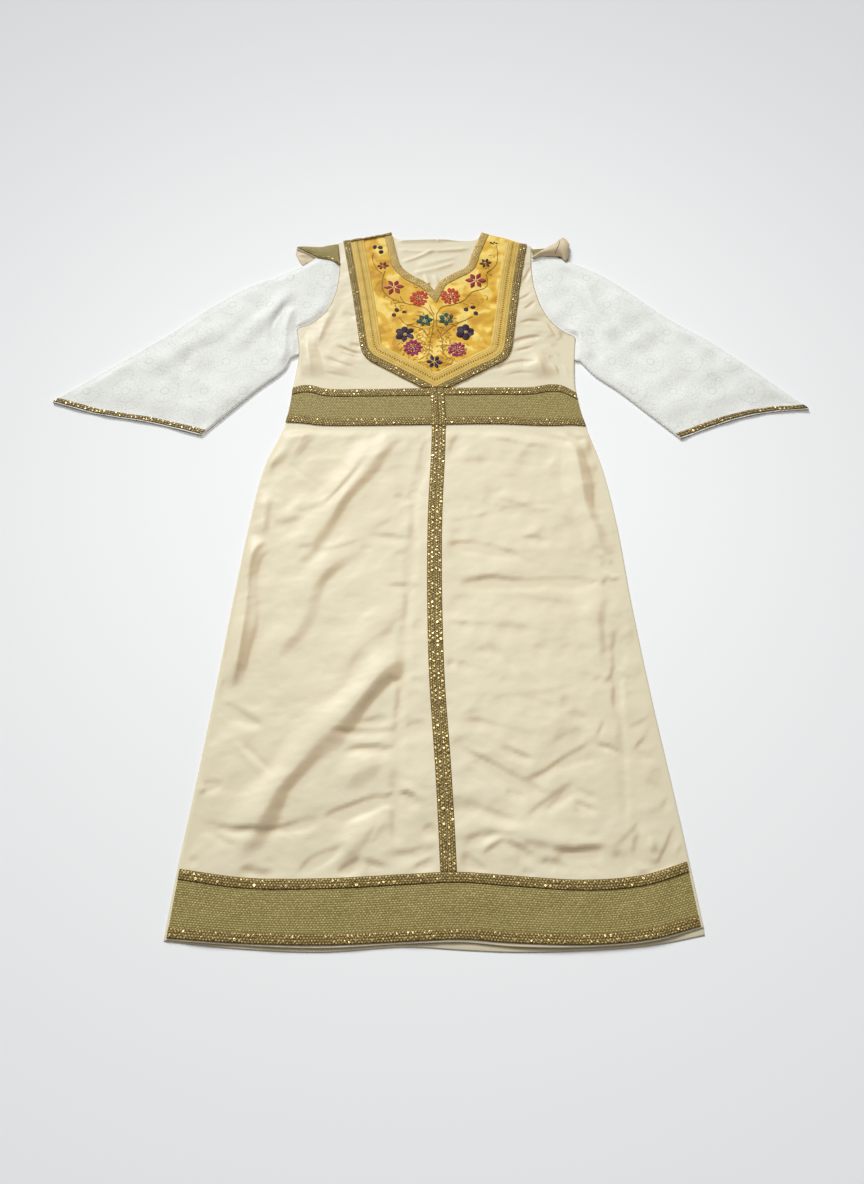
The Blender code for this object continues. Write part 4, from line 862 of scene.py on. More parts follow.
def closed_cloth(name, grids, wall, finish):
    """A closed cloth from one or more grids that share edges, turned over under itself, with a soft rim."""
    points = np.concatenate([g.reshape(-1, 6) for g in grids])
    faces, start, area = [], 0, 0.0
    for g in grids:
        f, turn = quads(*g.shape[:2]), signed_area(g[..., :2])
        area += abs(turn)
        faces.append((f if turn > 0 else f[:, ::-1]) + start)
        start += g.shape[0] * g.shape[1]
    faces = np.concatenate(faces)
    _, first, same = np.unique(np.round(points[:, :2], 6), axis=0, return_index=True, return_inverse=True)
    points, faces = points[first], same.ravel()[faces]
    edges = np.stack([faces, np.roll(faces, -1, axis=1)], axis=2).reshape(-1, 2)
    count = len(points)
    key, back = edges[:, 0] * count + edges[:, 1], edges[:, 1] * count + edges[:, 0]
    border = edges[~np.isin(key, back)]
    rim = np.zeros(count, bool)
    rim[border.ravel()] = True
    top, low = points.copy(), points.copy()
    low[:, 2] -= wall
    top[rim, 2] -= wall * RIM_DROP
    low[rim, 2] += wall * RIM_RISE
    walls = np.stack([border[:, 0], border[:, 0] + count, border[:, 1] + count, border[:, 1]], axis=1)
    points = np.concatenate([top, low])
    points[:, :2] += SHIFT
    faces = np.concatenate([faces, faces[:, ::-1] + count, walls])
    made = add_mesh(name, points[:, :3], faces, points[:, 3:5], finish, points[:, 5])
    made["cut_area"] = area
    return made


def lay(piece, node, slot, flat, rests_on, area=None):
    """Hides the solid that a cloth stands for. Its finish's slot, its flat cut and what it rests on are not
    used.
    """
    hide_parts(node)
    area = min(area or piece["cut_area"], flat[0] * flat[1])
    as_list(rests_on)


def ribbon(name, outer, inner, level, finish, node, slot, rests_on, relief=None, rows=6):
    """A narrow braid between two lines of matching points. u runs along it and v across it, in metres."""
    outer, inner = np.asarray(outer, float), np.asarray(inner, float)
    along = lengths_of((outer + inner) / 2)
    at = np.unique(np.concatenate([along, np.arange(0, along[-1], RIBBON_STEP)]))
    at = at[np.concatenate([[True], np.diff(at) > RIBBON_STEP * 0.2])]
    at[-1] = along[-1]
    a, b = (np.stack([np.interp(at, along, line[:, k]) for k in (0, 1)], axis=1) for line in (outer, inner))
    share = np.linspace(0, 1, rows)[:, None]
    plan = a[None] + (b - a)[None] * share[..., None]
    wide, long = float(np.median(np.linalg.norm(b - a, axis=1))), float(at[-1])
    uv = np.stack(np.broadcast_arrays(at[None], share * wide), axis=2)
    lift = 0 if relief is None else relief(*across_up(plan))
    top = np.broadcast_to(level, (len(at),)) if np.ndim(level) == 0 else np.interp(at, along, level)
    grid = grid_of(plan, top[None] - THINNER + braid_crown(share) + lift, uv)
    piece = closed_cloth(name, [with_rims(grid, THIN_RIM)], BRAID - THINNER, finish)
    if wide < NARROWEST:
        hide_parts(node)
    else:
        lay(piece, node, slot, (wide * SEWN, long * SEWN), rests_on, area=wide * long)
    braids[name.removeprefix("sequin_")] = grid
    return piece


def braid_crown(share):
    """A braid's top across its width: level in the middle and let down at both edges."""
    return BRAID_CROWN - (BRAID_CROWN + EDGE_DROP) * np.abs(2 * share - 1) ** 6


def skirt_x(place, up, left_in=0.0):
    """How far across a place from -1 to 1 lies at a height, with the left side moved in."""
    centre = middle(up)
    left, right = side(up, False) + left_in, side(up, True)
    return centre + np.where(place < 0, (centre - left) * place, (right - centre) * place)


def skirt_plan(hem, columns, rows, left_in=0.0):
    """Plan points of the skirt from one of its hem's lines up to the waist seam."""
    places = np.linspace(-1, 1, columns)
    low = column(HEMS, hem, places)
    up = low + (WAIST_SEAM - SEAM / 2 - low) * np.linspace(0, 1, rows)[:, None]
    return np.stack([skirt_x(places, up, left_in), up], axis=2)


def build_skirt():
    plan = skirt_plan(FRONT_EDGE, SKIRT_COLUMNS, SKIRT_ROWS, SIDE_SEAM)
    top = FRONT_TOP + front_height(*across_up(plan))
    grid = with_rims(grid_of(plan, top, painted_shade=painted_fold_shade(plan, top)))
    front = closed_cloth("skirt_front", [grid], CLOTH, satin)
    lay(front, "front_skirt", "satin", (0.78, 0.925), ["skirt_back"])
    grid = with_rims(grid_of(skirt_plan(BACK_EDGE, *BACK_GRID), BACK_TOP))
    back = closed_cloth("skirt_back", [grid], CLOTH, satin)
    lay(back, "back_skirt", "satin", (0.785, 0.93), [])
    places = np.linspace(BAND_IN - 1, 1 - BAND_IN, HEM_COLUMNS)
    low, high = column(HEMS, 3, places), column(HEMS, 4, places)
    build_bands("hem", low, high, lambda up: skirt_x(places, up), 7)


def build_bands(name, low, high, across, braid_rows):
    """A brocade band over the front between two lines of heights, with a braid on each edge. across says how
    far across its points lie at each height."""
    band = (BAND_ROWS, PANEL_TOP, brocade, "brocade", "skirt_front")
    braid = (braid_rows, OVER_TOP, olive_braid, "olive_braid", name + "_brocade")
    for part, cloth_node, a, b, (rows, level, finish, slot, on) in (
        ("brocade", "band", low, high, band),
        ("braid_low", "braid_lower", low, low + BAND_BRAID, braid),
        ("braid_high", "braid_upper", high - BAND_BRAID, high, braid),
    ):
        up = a + (b - a) * np.linspace(0, 1, rows)[:, None]
        plan = np.stack([across(up), up], axis=2)
        wide, along = float(np.median(b - a)), lengths_of(plan[rows // 2])
        uv = np.stack(np.broadcast_arrays(along[None], np.linspace(0, wide, rows)[:, None]), axis=2)
        crown = 0 if finish is brocade else braid_crown(np.linspace(0, 1, rows)[:, None])
        grid = grid_of(plan, level - THINNER + crown + front_height(*across_up(plan)), uv)
        piece = closed_cloth(f"{name}_{part}", [with_rims(grid, THIN_RIM)], BRAID - THINNER, finish)
        long = float(along[-1])
        lay(piece, f"{name}_{cloth_node}", slot, (wide * TURNED_IN, long * SEWN), [on], area=wide * long)
        braids[f"{name}_{part}"] = grid


def build_strips():
    """The two rows of braid down the middle, which climb onto the waist band."""
    foot, head = (float(column(WAISTS, edge, 0)) - SEAM for edge in (1, 2))
    low = float(column(HEMS, 4, 0.04)) + SEAM
    ups = np.concatenate([np.linspace(low, foot - CLIMB, 200), np.linspace(foot, head, 18)])
    level = np.where(ups < foot - CLIMB / 2, PANEL_TOP, STRIP_TOP)
    for hand, a, b in (("left", -SEAM / 2, -STRIP - SEAM), ("right", STRIP + SEAM, SEAM / 2)):
        outer, inner = (np.stack([middle(ups) + d, ups], axis=1) for d in (a, b))
        ribbon("centre_row_" + hand, outer, inner, level, olive_braid, "centre_braid_" + hand, "olive_braid",
               ["skirt_front", "waist_brocade"], front_height)


def half_plan(outer, stem, neck, rows, columns):
    """Plan points of one half of a piece, out to its outer line from the middle one, which is a stem with a
    count of points and then the neck's edge."""
    tall, long = neck[0, 1] - stem(2)[0, 1], lengths_of(neck)[-1]
    below = round((rows - 1) * tall / (tall + long))
    inner = np.concatenate([stem(below + 1), straight(neck, np.linspace(0, 1, rows - below))[1:]])
    outer = straight(outer, np.linspace(0, 1, rows))
    return (inner + (outer - inner) * np.linspace(0, 1, columns)[:, None, None]).transpose(1, 0, 2)


def bodice_halves(necks, rows, columns):
    """Plan points of the bodice's left and right half, from the middle out to the side seam and armhole."""
    start, head, halves = WAIST_SEAM + SEAM / 2, necks[0][-1], []

    def stem(count):
        ups = np.linspace(start, head[1], count)
        lean = (head[0] - middle(head[1])) * smooth((ups - start) / (head[1] - start))
        return np.stack([middle(ups) + lean, ups], axis=1)

    for right in (False, True):
        seam_up = np.linspace(start, UNDERARMS[right][1], 40)
        seam = np.stack([side(seam_up, right), seam_up], axis=1)
        seam[-1] = UNDERARMS[right]
        outer = rounded(np.concatenate([seam, armhole(right)[1:]]), len(seam) - 1, UNDERARM_ROUND)
        neck = path(necks[right][::-1], np.linspace(0, 1, 60))
        halves.append(half_plan(outer, stem, neck, rows, columns))
    return halves


def build_bodice():
    for name, node, necks, count, level, relief, reach, under in (
        ("bodice_front", "front_bodice", (NECK_LEFT, NECK_RIGHT), FRONT_HALF, FRONT_TOP,
         front_height, 7, ["bodice_back"]),
        ("bodice_back", "back_bodice", (BACK_NECK[:3], BACK_NECK[:1:-1]), BACK_HALF, BACK_TOP,
         back_height, 4, []),
    ):
        grids = []
        for plan in bodice_halves(necks, *count):
            top = level + relief(*across_up(plan))
            grids.append(grid_of(plan, top, painted_shade=painted_fold_shade(plan, top, reach)))
        lay(closed_cloth(name, grids, CLOTH, satin), node, "satin", (0.53, 0.40), under)


def back_height(across, up):
    """The back's inside shows in the neck, with a few creases. The back lies flat elsewhere."""
    inside = smooth((NECK_HALF - np.abs(across)) / NECK_FADES[0])
    inside = inside * smooth((up - NECK_LOW) / NECK_FADES[1]) * smooth((NECK_HIGH - up) / NECK_FADES[2])
    return np.maximum(crease_height(NECK_CREASES, across, up), 0) * inside


def build_waist():
    places = np.linspace(-1, 1, WAIST_COLUMNS)

    def across(up):
        left, right = side(up, False), side(up, True)
        return (left + right) / 2 + (right - left) / 2 * places

    build_bands("waist", column(WAISTS, 1, places), column(WAISTS, 2, places), across, 6)


def panel_height(across, up):
    """The velvet's soft unevenness, over that of the bodice under it."""
    (high, seed, long), (low, fine_seed, short) = VELVET_WAVES
    nap = high * (1 + ripple(across, up, seed, long)) + low * ripple(across, up, fine_seed, short)
    return front_lie(across, up)[0] + np.maximum(nap, 0)


def build_chest():
    share = np.linspace(0, 1, 40)
    neck = np.concatenate([path(NECK_LEFT, share), path(NECK_RIGHT[::-1], share)[1:]])
    point = len(share) - 1
    line = chest_line(0)
    cut = int(np.argmin(line[:, 1]))
    if line[cut + 1, 1] > line[cut, 1] + 1e-6:
        cut -= 1
    foot = (line[cut] + line[cut + 1]) / 2
    inner, grids = offset(neck, -SEAM), []
    for outer, arm in ((line[cut::-1], inner[point::-1]), (line[cut + 1 :], inner[point:])):
        plan = half_plan(outer, lambda count, arm=arm: np.linspace(foot, arm[0], count), arm, 100, 48)
        grids.append(grid_of(plan, PANEL_TOP + panel_height(*across_up(plan))))
    panel = closed_cloth("chest_velvet", grids, BRAID, velvet)

    near = CHEST_BORDER + SEAM
    for name, a, b, finish, node, slot in (
        ("chest_edge_braid", chest_line(0), chest_line(CHEST_BORDER), olive_braid, "chest_border",
         "olive_braid"),
        ("chest_wide_braid", chest_line(near), chest_line(near + CHEST_BRAID), pale_braid, "chest_braid",
         "pale_braid"),
        ("neck_edge_braid", offset(neck, -NECK_BRAID), neck, neck_braid, "neck_braid", "neck_braid"),
    ):
        ribbon(name, a, b, OVER_TOP + CHEST_LIFT, finish, node, slot, ["chest_velvet"], panel_height)
    start, end = np.array(CHEST[0][:2]), np.array(NECK_LEFT[0])
    along = unit(end - start)
    line = [start + along * (CHEST_BORDER + TRIM_GAPS[0]), end - along * TRIM_GAPS[1]]
    trim = ribbon("shoulder_trim", offset(line, -SHOULDER_BRAID - CLOTH), offset(line, -CLOTH), STRIP_TOP,
                  olive_braid, "shoulder_braid_left", "olive_braid", ["chest_velvet"], panel_height, rows=4)
    lay(panel, "chest_panel", "velvet", (0.355, 0.345), ["bodice_front"])


def sleeve_plan(sleeve, right, rows=(16, 104), count=84):
    """Plan points of a flattened sleeve, from its head at the armhole down to the cuff."""
    arm = armhole(right)[::-1]
    run = [(float(side(up, right)), up) for up in sleeve.seam]
    head = rounded(np.concatenate([arm, run]), len(arm) - 1, UNDERARM_ROUND)
    head = offset(head, HEAD_GAP if right else -HEAD_GAP)
    u = np.linspace(0, 1, count) ** HEAD_SPREAD
    head = straight(head, u)
    crowd = u**CAP_SPREAD
    cap, cuff = path(sleeve.cap, crowd), path(sleeve.cuff, crowd)
    plans = [head + (cap - head) * share for share in np.linspace(0, 1, rows[0])[:-1]]
    for t in np.linspace(0, 1, rows[1]):
        upper, lower = path(sleeve.upper, t), path(sleeve.lower, t)
        plain = (1 - t) * cap + t * cuff
        plans.append(plain + (1 - crowd)[:, None] * (upper - plain[0]) + crowd[:, None] * (lower - plain[-1]))
    return np.array(plans)


def build_sleeve(name, right):
    """A flattened tube of lace: its upper side, a fold at each edge and its plain underside."""
    plan = sleeve_plan(SLEEVES[right], right)
    rows, count = plan.shape[:2]
    edge, head, cuff = (np.linalg.norm(plan - near, axis=2) for near in (plan[:, :1], plan[:1], plan[-1:]))
    edge = np.minimum(edge, np.linalg.norm(plan - plan[:, -1:], axis=2))
    x, y = across_up(plan)
    creases = crease_height(SLEEVE_CREASES[right], x, y) + SLEEVE_WAVE * ripple(x, y, 21 + right, 0.07)
    height = np.maximum((SLEEVE_PUFF + creases) * smooth(edge / PUFF_IN) * smooth(head / HEAD_EASE), 0)
    height -= HEAD_SINK * (1 - smooth(head / HEAD_EASE)) * smooth(edge / SINK_IN)
    height -= CUFF_SAG * smooth(edge / SAG_IN) * (1 - smooth((cuff - CUFF_EASE[0]) / CUFF_EASE[1]))
    radius = SLEEVE_FOLD / 2
    across = np.stack([lengths_of(line) for line in plan])
    down = np.stack([lengths_of(plan[:, c]) for c in range(count)], axis=1)
    down = down[-1:] - down
    wide = across[:, -1]

    def fold(c, inwards, angles, u):
        """Lines of points round the fold at one edge, at angles from straight out."""
        out = -unit(inwards)
        for turn in np.radians(angles):
            at = plan[:, c] - out * radius + out * radius * math.cos(turn)
            yield np.column_stack([at, np.full(rows, radius + radius * math.sin(turn)), u, down[:, c]])

    def line_of(c, z, u):
        return np.column_stack([plan[:, c], z, u, down[:, c]])

    ring = [*fold(0, plan[:, 1] - plan[:, 0], FOLD_TURNS, across[:, 0])]
    ring += [line_of(c, SLEEVE_FOLD + height[:, c], across[:, c]) for c in range(1, count - 1)]
    ring += fold(-1, plan[:, -2] - plan[:, -1], FOLD_TURNS[::-1], wide)
    ring += [line_of(c, np.zeros(rows), 2 * wide - across[:, c]) for c in range(count - 2, 0, -3)]
    points = np.stack(ring, axis=1)
    total = len(ring)
    here = np.arange(total)
    on = (here + 1) % total
    faces = np.concatenate([np.stack([here, on, on + total, here + total], axis=1) + r * total
                            for r in range(rows - 1)])
    points = points.reshape(-1, 5)
    points[:, :2] += SHIFT
    made = add_mesh("lace_" + name, points[:, :3], faces, points[:, 3:], lace)
    outwards(made)
    lay(made, name, "lace", (2 * float(wide.max()), float(down.max())), [], area=2 * abs(signed_area(plan)))
    return plan, height


def outwards(piece):
    """Turns an open tube's faces so that they point up on its upper side."""
    mesh = piece.data
    high = [p for p in mesh.polygons if p.center.z > SLEEVE_FOLD]
    if sum(p.normal.z * p.area for p in high) < 0:
        mesh.flip_normals()


def build_cuff(name, right, plan, height):
    """The cuff's braid lies on the upper side of the sleeve, just inside its edge."""
    end, before = plan[-1].copy(), plan[-8].copy()
    for line in (end, before):
        line[0] += unit(line[1] - line[0]) * CUFF_INSET
        line[-1] += unit(line[-2] - line[-1]) * CUFF_INSET
    step = unit(end - before)
    level = SLEEVE_FOLD + SEAM + BRAID + height[-4:].max(axis=0)
    outer, inner = end - step * CUFF_EDGE, end - step * (CUFF_EDGE + CUFF_BRAID)
    if right:
        outer, inner = inner, outer
    on = "lace_sleeve_right" if right else "lace_sleeve_left"
    ribbon("sequin_" + name, outer, inner, level, cuff_braid, name, "olive_braid", [on])


def build_seams():
    """The fine line of stitching round both armholes, coloured tan: partly the real seam, partly a painted
    shadow line along it.
    """
    lines = []
    for right, inward in ((False, -SEAM_IN), (True, SEAM_IN)):
        up = UNDERARMS[right][1] - 2 * UNDERARM_ROUND
        run = rounded(np.concatenate([[[float(side(up, right)), up]], armhole(right)]), 1, UNDERARM_ROUND)
        run = offset(run, inward)[3:-6]
        lines.append(round_cord(run, FRONT_TOP + front_height(*across_up(run)), SEAM_CORD))
    add_mesh("armhole_stitching_and_shadow_line", *joined(lines), threads["seam"])


def build_wings():
    over_sleeve, over_back = SLEEVE_FOLD + SEAM + CLOTH, BACK_TOP + SEAM + CLOTH
    over_face = over_sleeve + SEAM + CLOTH
    t, share = np.linspace(0, 1, 44), np.linspace(0, 1, 18)[:, None]
    rise = np.sin(math.pi * share) * np.sqrt(np.clip(np.sin(math.pi * t), 0, 1))
    drop = (over_sleeve - over_back) * share**2 * smooth((t - 0.20) / 0.30)
    for name, near, far, top, cloth_node in (
        ("left_brocade", WING_LEFT_FREE, WING_LEFT_FOLD, over_sleeve + FACE_RISE * rise - drop, "face_left"),
        ("left_satin", LINING_LEFT_LOW, LINING_LEFT_HIGH, BACK_TOP + 0 * rise, "lining_left"),
        ("right_brocade", WING_RIGHT_LOW, WING_RIGHT_BACK, over_sleeve + 0 * rise, "face_right"),
        ("right_satin", LINING_RIGHT_LOW, LINING_RIGHT_HIGH, over_face + LINING_RISE * rise, "lining_right"),
    ):
        near, far = straight(near, t), straight(far, t)
        plan = near + (far - near) * share[..., None]
        lined = name.endswith("satin")
        if lined:
            top = top + np.maximum(crease_height(LINING_FOLDS, *across_up(plan)), 0)
        grid = with_rims(grid_of(plan, top), THIN_RIM)
        # A lining is the satin drawn darker all over: painted shade.
        piece = closed_cloth("wing_" + name, [grid], CLOTH, lining if lined else brocade)
        long, wide = np.ptp(plan.reshape(-1, 2), axis=0) * BEND_ALLOWED
        lay(piece, "wing_" + cloth_node, "satin" if lined else "brocade", (float(wide), float(long)),
            ["bodice_back"])
    # The last plan and top are those of the right lining, which the seam crosses.
    rows = np.arange(2, 17)
    seam = np.array([[x, np.interp(x, plan[r, :, 0], plan[r, :, 1]), np.interp(x, plan[r, :, 0], top[r])]
                     for r, x in zip(rows, np.linspace(*LINING_SEAM, len(rows)))])
    free = path(WING_LEFT_FREE, np.linspace(0, 1, 60))
    # Each cord is a line with its height and radius.
    edging = [round_cord(offset(free, -far)[2:52], over_sleeve + 0.0005, 0.0012) for far in (0.0010, 0.0034)]
    for name, cords, finish, slot in (
        ("left_edging", edging, olive_braid, "olive_braid"),
        ("left_roll", [round_cord(offset(free, 0.0011)[18:], 0.0036, 0.0015)], satin, "satin"),
        ("right_roll", [round_cord(path(LINING_RIGHT_HIGH, t), over_face - 0.0004, 0.0012)], satin, "satin"),
        ("right_seam", [round_cord(seam[:, :2], seam[:, 2] + 0.0001, 0.0005)], threads["brown"], "satin"),
    ):
        add_mesh("wing_" + name, *joined(cords), finish)
    level = over_sleeve + 0.0020
    places = [(turned(0, (0.0015,) * 3), (x + SHIFT[0], y + SHIFT[1], level)) for x, y in WING_SEQUINS]
    copies("sequins_on_wing_left", model_sequin(), places, sequin)


# ---- sequins and embroidery


def edit_new(adding):
    """Adds a primitive on its own and opens it for shaping."""
    bpy.ops.object.select_all(action="DESELECT")
    adding()
    bpy.ops.object.mode_set(mode="EDIT")
    bpy.ops.mesh.select_mode(type="FACE")


def pick_faces(wanted):
    mesh = bmesh.from_edit_mesh(bpy.context.object.data)
    for face in mesh.faces:
        face.select_set(wanted(face.calc_center_median(), face.normal))
    bmesh.update_edit_mesh(bpy.context.object.data)


def finish_model():
    """The shaped model's corner points and triangles. The model itself is removed."""
    bpy.ops.object.mode_set(mode="OBJECT")
    model = bpy.context.object
    mesh = model.data
    mesh.calc_loop_triangles()
    points = np.array([v.co[:] for v in mesh.vertices])
    triangles = np.array([t.vertices[:] for t in mesh.loop_triangles])
    bpy.data.objects.remove(model, do_unlink=True)
    return points, triangles


def model_sequin():
    """A small cup of radius 1, a tenth as thick as it is wide, with a sunken middle."""
    edit_new(lambda: bpy.ops.mesh.primitive_cylinder_add(vertices=9, radius=1, depth=0.22))
    pick_faces(lambda at, normal: normal.z > 0.5)
    bpy.ops.mesh.inset(thickness=0.38)
    bpy.ops.transform.translate(value=(0, 0, -0.14))
    bpy.ops.mesh.inset(thickness=0.25)
    bpy.ops.transform.translate(value=(0, 0, 0.04))
    return finish_model()


def model_petal(root, tip):
    """A padded petal from (0, 0) to (1, 0), 1 wide, narrowed at its root and tip by the shares given."""
    edit_new(lambda: bpy.ops.mesh.primitive_circle_add(vertices=14, radius=0.5, fill_type="NGON",
                                                       location=(0.5, 0, 0)))
    bpy.ops.mesh.select_all(action="SELECT")
    bpy.ops.mesh.extrude_region_move(TRANSFORM_OT_translate={"value": (0, 0, 0.5)})
    bpy.ops.mesh.inset(thickness=0.13)
    bpy.ops.transform.translate(value=(0, 0, 0.35))
    bpy.ops.mesh.inset(thickness=0.16)
    bpy.ops.transform.translate(value=(0, 0, 0.15))
    points, triangles = finish_model()
    x = points[:, 0]
    x -= x.min() if abs(x.min()) > 0.4 else 0
    points[:, 1] *= 1 - root * np.clip(1 - x * 2, 0, 1) ** 1.5 - tip * np.clip(x * 2 - 1, 0, 1) ** 1.5
    return points, triangles


def copies(name, model, places, finish):
    """One joined piece of many copies of a model. A place is a 3 by 3 turn and size, and a point."""
    points, triangles = model
    all_points = np.concatenate([points @ np.asarray(turn).T + at for turn, at in places])
    all_triangles = np.concatenate([triangles + i * len(points) for i in range(len(places))])
    return add_mesh(name, all_points, all_triangles, np.tile(points[:, :2], (len(places), 1)), finish)


def turned(angle, sizes, tilt=(0.0, 0.0)):
    """A turn about +Z after tilts about X and Y, with a size for each axis."""
    about_z, about_x, about_y = (Matrix.Rotation(by, 3, axis) for by, axis in zip((angle, *tilt), "ZXY"))
    return np.array(about_z @ about_x @ about_y) * np.array(sizes)


def on_braid(grid, along, share):
    """The point on a braid at a distance along it and a share of its width."""
    runs = grid[0, :, 3]
    i = int(np.clip(np.searchsorted(runs, along) - 1, 0, len(runs) - 2))
    t = np.clip((along - runs[i]) / (runs[i + 1] - runs[i]), 0, 1)
    row = share * (len(grid) - 1)
    j = min(int(row), len(grid) - 2)
    s = row - j
    near, far = (grid[k, i] * (1 - t) + grid[k, i + 1] * t for k in (j, j + 1))
    at = (near * (1 - s) + far * s)[:3]
    at[:2] += SHIFT
    return at


def sew_sequins():
    """Staggered rows of sequins down each olive braid, each lying a little askew."""
    cup = model_sequin()
    chance = np.random.default_rng(7)
    for name, pitch, shares, radius, keep in SEQUIN_ROWS:
        grid, places = braids[name], []
        for row, share in enumerate(shares):
            run = pitch * (0.5 + 0.5 * row)
            while run < grid[0, -1, 3] - END_CLEAR:
                along, across = (chance.normal(0, far) for far in STRAY)
                at = on_braid(grid, run + along, share + across)
                tilt = chance.normal(0, ASKEW, 2)
                size = radius * chance.uniform(*SEQUIN_SIZES) * (BIG if chance.random() < BIG_SHARE else 1)
                if chance.random() < keep:
                    at[2] += SEQUIN_LIFT
                    places.append((turned(chance.uniform(0, 6.28), (size, size, size), tilt), at))
                run += pitch
        copies("sequins_on_" + name, cup, places, sequin)


def embroider():
    """Flowers, beads, stems and leaves stitched over the velvet."""
    chance = np.random.default_rng(19)
    shapes = {name: model_petal(root, tip) for name, root, tip in PETALS}
    sewn = {}

    def stitch(thread, shape, x, y, angle, length, width, lift=0.0):
        base = PANEL_TOP + float(panel_height(np.array([x]), np.array([y]))[0]) - STITCH_SUNK + lift
        at = np.array([x + SHIFT[0], y + SHIFT[1], base])
        sewn.setdefault((thread, shape), []).append((turned(angle, (length, width, STITCH_HIGH)), at))

    def around(thread, shape, x, y, count, start, inner, length, width, lift=0.0):
        for k in range(count):
            angle = start + 2 * math.pi * k / count + chance.normal(0, PETAL_STRAY)
            stitch(thread, shape, x + inner * math.cos(angle), y + inner * math.sin(angle), angle,
                   length * chance.uniform(*UNEVEN), width * chance.uniform(*UNEVEN), lift)

    for kind, thread, x, y, size in FLOWERS:
        x, y, r = x * MM, y * MM, size * (1.0 if kind == "bead" else FULLER) * MM
        if kind == "bead":
            angle = chance.uniform(0, math.pi)
            stitch(thread, "bead", x - r * math.cos(angle), y - r * math.sin(angle), angle, 2 * r, 1.8 * r)
        elif kind in SIX_PETALS:
            shape, wide = SIX_PETALS[kind]
            around(thread, shape, x, y, 6, chance.uniform(0, 1), r * 0.16, r * 0.86, r * wide)
            around("light", "bead", x, y, 3, 0.4, 0.0, r * 0.13, r * 0.16, 0.0002)
        elif kind == "round":
            around(thread, "plump", x, y, 11, 0.1, r * 0.42, r * 0.60, r * 0.42)
            around(thread, "plump", x, y, 6, 0.4, r * 0.10, r * 0.38, r * 0.30, 0.0003)
            around("light", "leaf", x, y, 5, 0.2, r * 0.05, r * 0.40, r * 0.10, 0.0006)
        else:
            for dx, dy, angle in SPRIG:
                stitch(thread, "leaf", x + dx * MM, y + dy * MM, angle, *SPRIG_LEAF)

    stems = joined([stem_tube(np.array(line) * MM) for line in STEMS])
    add_mesh("chest_stems", *stems, threads["stem"])

    for count, line in LEAFY:
        run = path(np.array(line) * MM, np.linspace(0, 1, count))
        for (x, y), way in zip(run, np.gradient(run, axis=0)):
            for hand in (-1, 1):
                angle = math.atan2(way[1], way[0]) + hand * chance.uniform(*LEAF_TURNS)
                stitch("gold", "leaf", x, y, angle, chance.uniform(*LEAF_LENGTHS),
                       chance.uniform(*LEAF_WIDTHS), -LEAF_SUNK)
    for (thread, shape), places in sewn.items():
        piece = copies("stitched_" + thread + "_" + shape, shapes[shape], places, threads[thread])


def stem_tube(line):
    """A round thread along a smooth line over the velvet."""
    run = path(line, np.linspace(0, 1, max(8, int(lengths_of(line)[-1] / STEM_STEP))))
    return round_cord(run, PANEL_TOP + panel_height(*across_up(run)) + STEM * STEM_RAISED, STEM)


def round_cord(run, z, radius, sides=6):
    """Points, faces and pattern of a closed round cord whose middle runs through plan points at height z."""
    count = len(run)
    z = np.broadcast_to(z, (count,))
    way = unit(np.gradient(run, axis=0))
    out = np.stack([-way[:, 1], way[:, 0]], axis=1)
    along = lengths_of(run)
    points, pattern = [], []
    for turn in 2 * math.pi * np.arange(sides) / sides:
        flat = run + SHIFT + out * radius * math.cos(turn)
        points.append(np.column_stack([flat, z + radius * math.sin(turn)]))
        pattern.append(np.column_stack([along, np.full(count, turn * radius)]))
    points, pattern = (np.stack(p, axis=1).reshape(count * sides, -1) for p in (points, pattern))
    ends = np.array([[*(run[i] + SHIFT), z[i]] for i in (0, -1)])
    faces = []
    first, last = len(points), len(points) + 1
    for k in range(sides):
        on = (k + 1) % sides
        for a, b in ((i * sides + k, i * sides + on) for i in range(count - 1)):
            faces += [(a, a + sides, b + sides), (a, b + sides, b)]
        faces += [(first, k, on), (last, (count - 1) * sides + on, (count - 1) * sides + k)]
    pattern = np.concatenate([pattern, [[0, 0], [along[-1], 0]]])
    return np.concatenate([points, ends]), np.array(faces), pattern


def joined(cords):
    """Points, faces and pattern of several cords in one."""
    starts = np.cumsum([0] + [len(c[0]) for c in cords[:-1]])
    faces = np.concatenate([c[1] + s for c, s in zip(cords, starts)])
    return np.concatenate([c[0] for c in cords]), faces, np.concatenate([c[2] for c in cords])


# ---- finishes


def colour(red, green, blue):
    """A colour as the shader wants it, from its everyday 0 to 255 numbers."""
    def straight_line(c):
        c /= 255
        return c / 12.92 if c <= 0.04045 else ((c + 0.055) / 1.055) ** 2.4
    return (straight_line(red), straight_line(green), straight_line(blue), 1)


class Value:
    """A number, place or colour that a finish's nodes work out at each point of the cloth."""

    def __init__(self, socket):
        self.socket, self.tree = socket, socket.id_data

    def __add__(self, other):
        return calc("ADD", self, other)

    def __sub__(self, other):
        return calc("SUBTRACT", self, other)

    def __mul__(self, other):
        return calc("MULTIPLY", self, other)

    def __truediv__(self, other):
        return calc("DIVIDE", self, other)

    def __abs__(self):
        return calc("ABSOLUTE", self)


def node(tree, kind, output=0, sockets=None, **settings):
    """What a new shader node works out, with its settings made and its sockets filled."""
    made = tree.nodes.new("ShaderNode" + kind)
    for key, value in settings.items():
        setattr(made, key, value)
    for key, value in (sockets or {}).items():
        if isinstance(value, Value):
            tree.links.new(value.socket, made.inputs[key])
        else:
            made.inputs[key].default_value = value
    return Value(made.outputs[output])


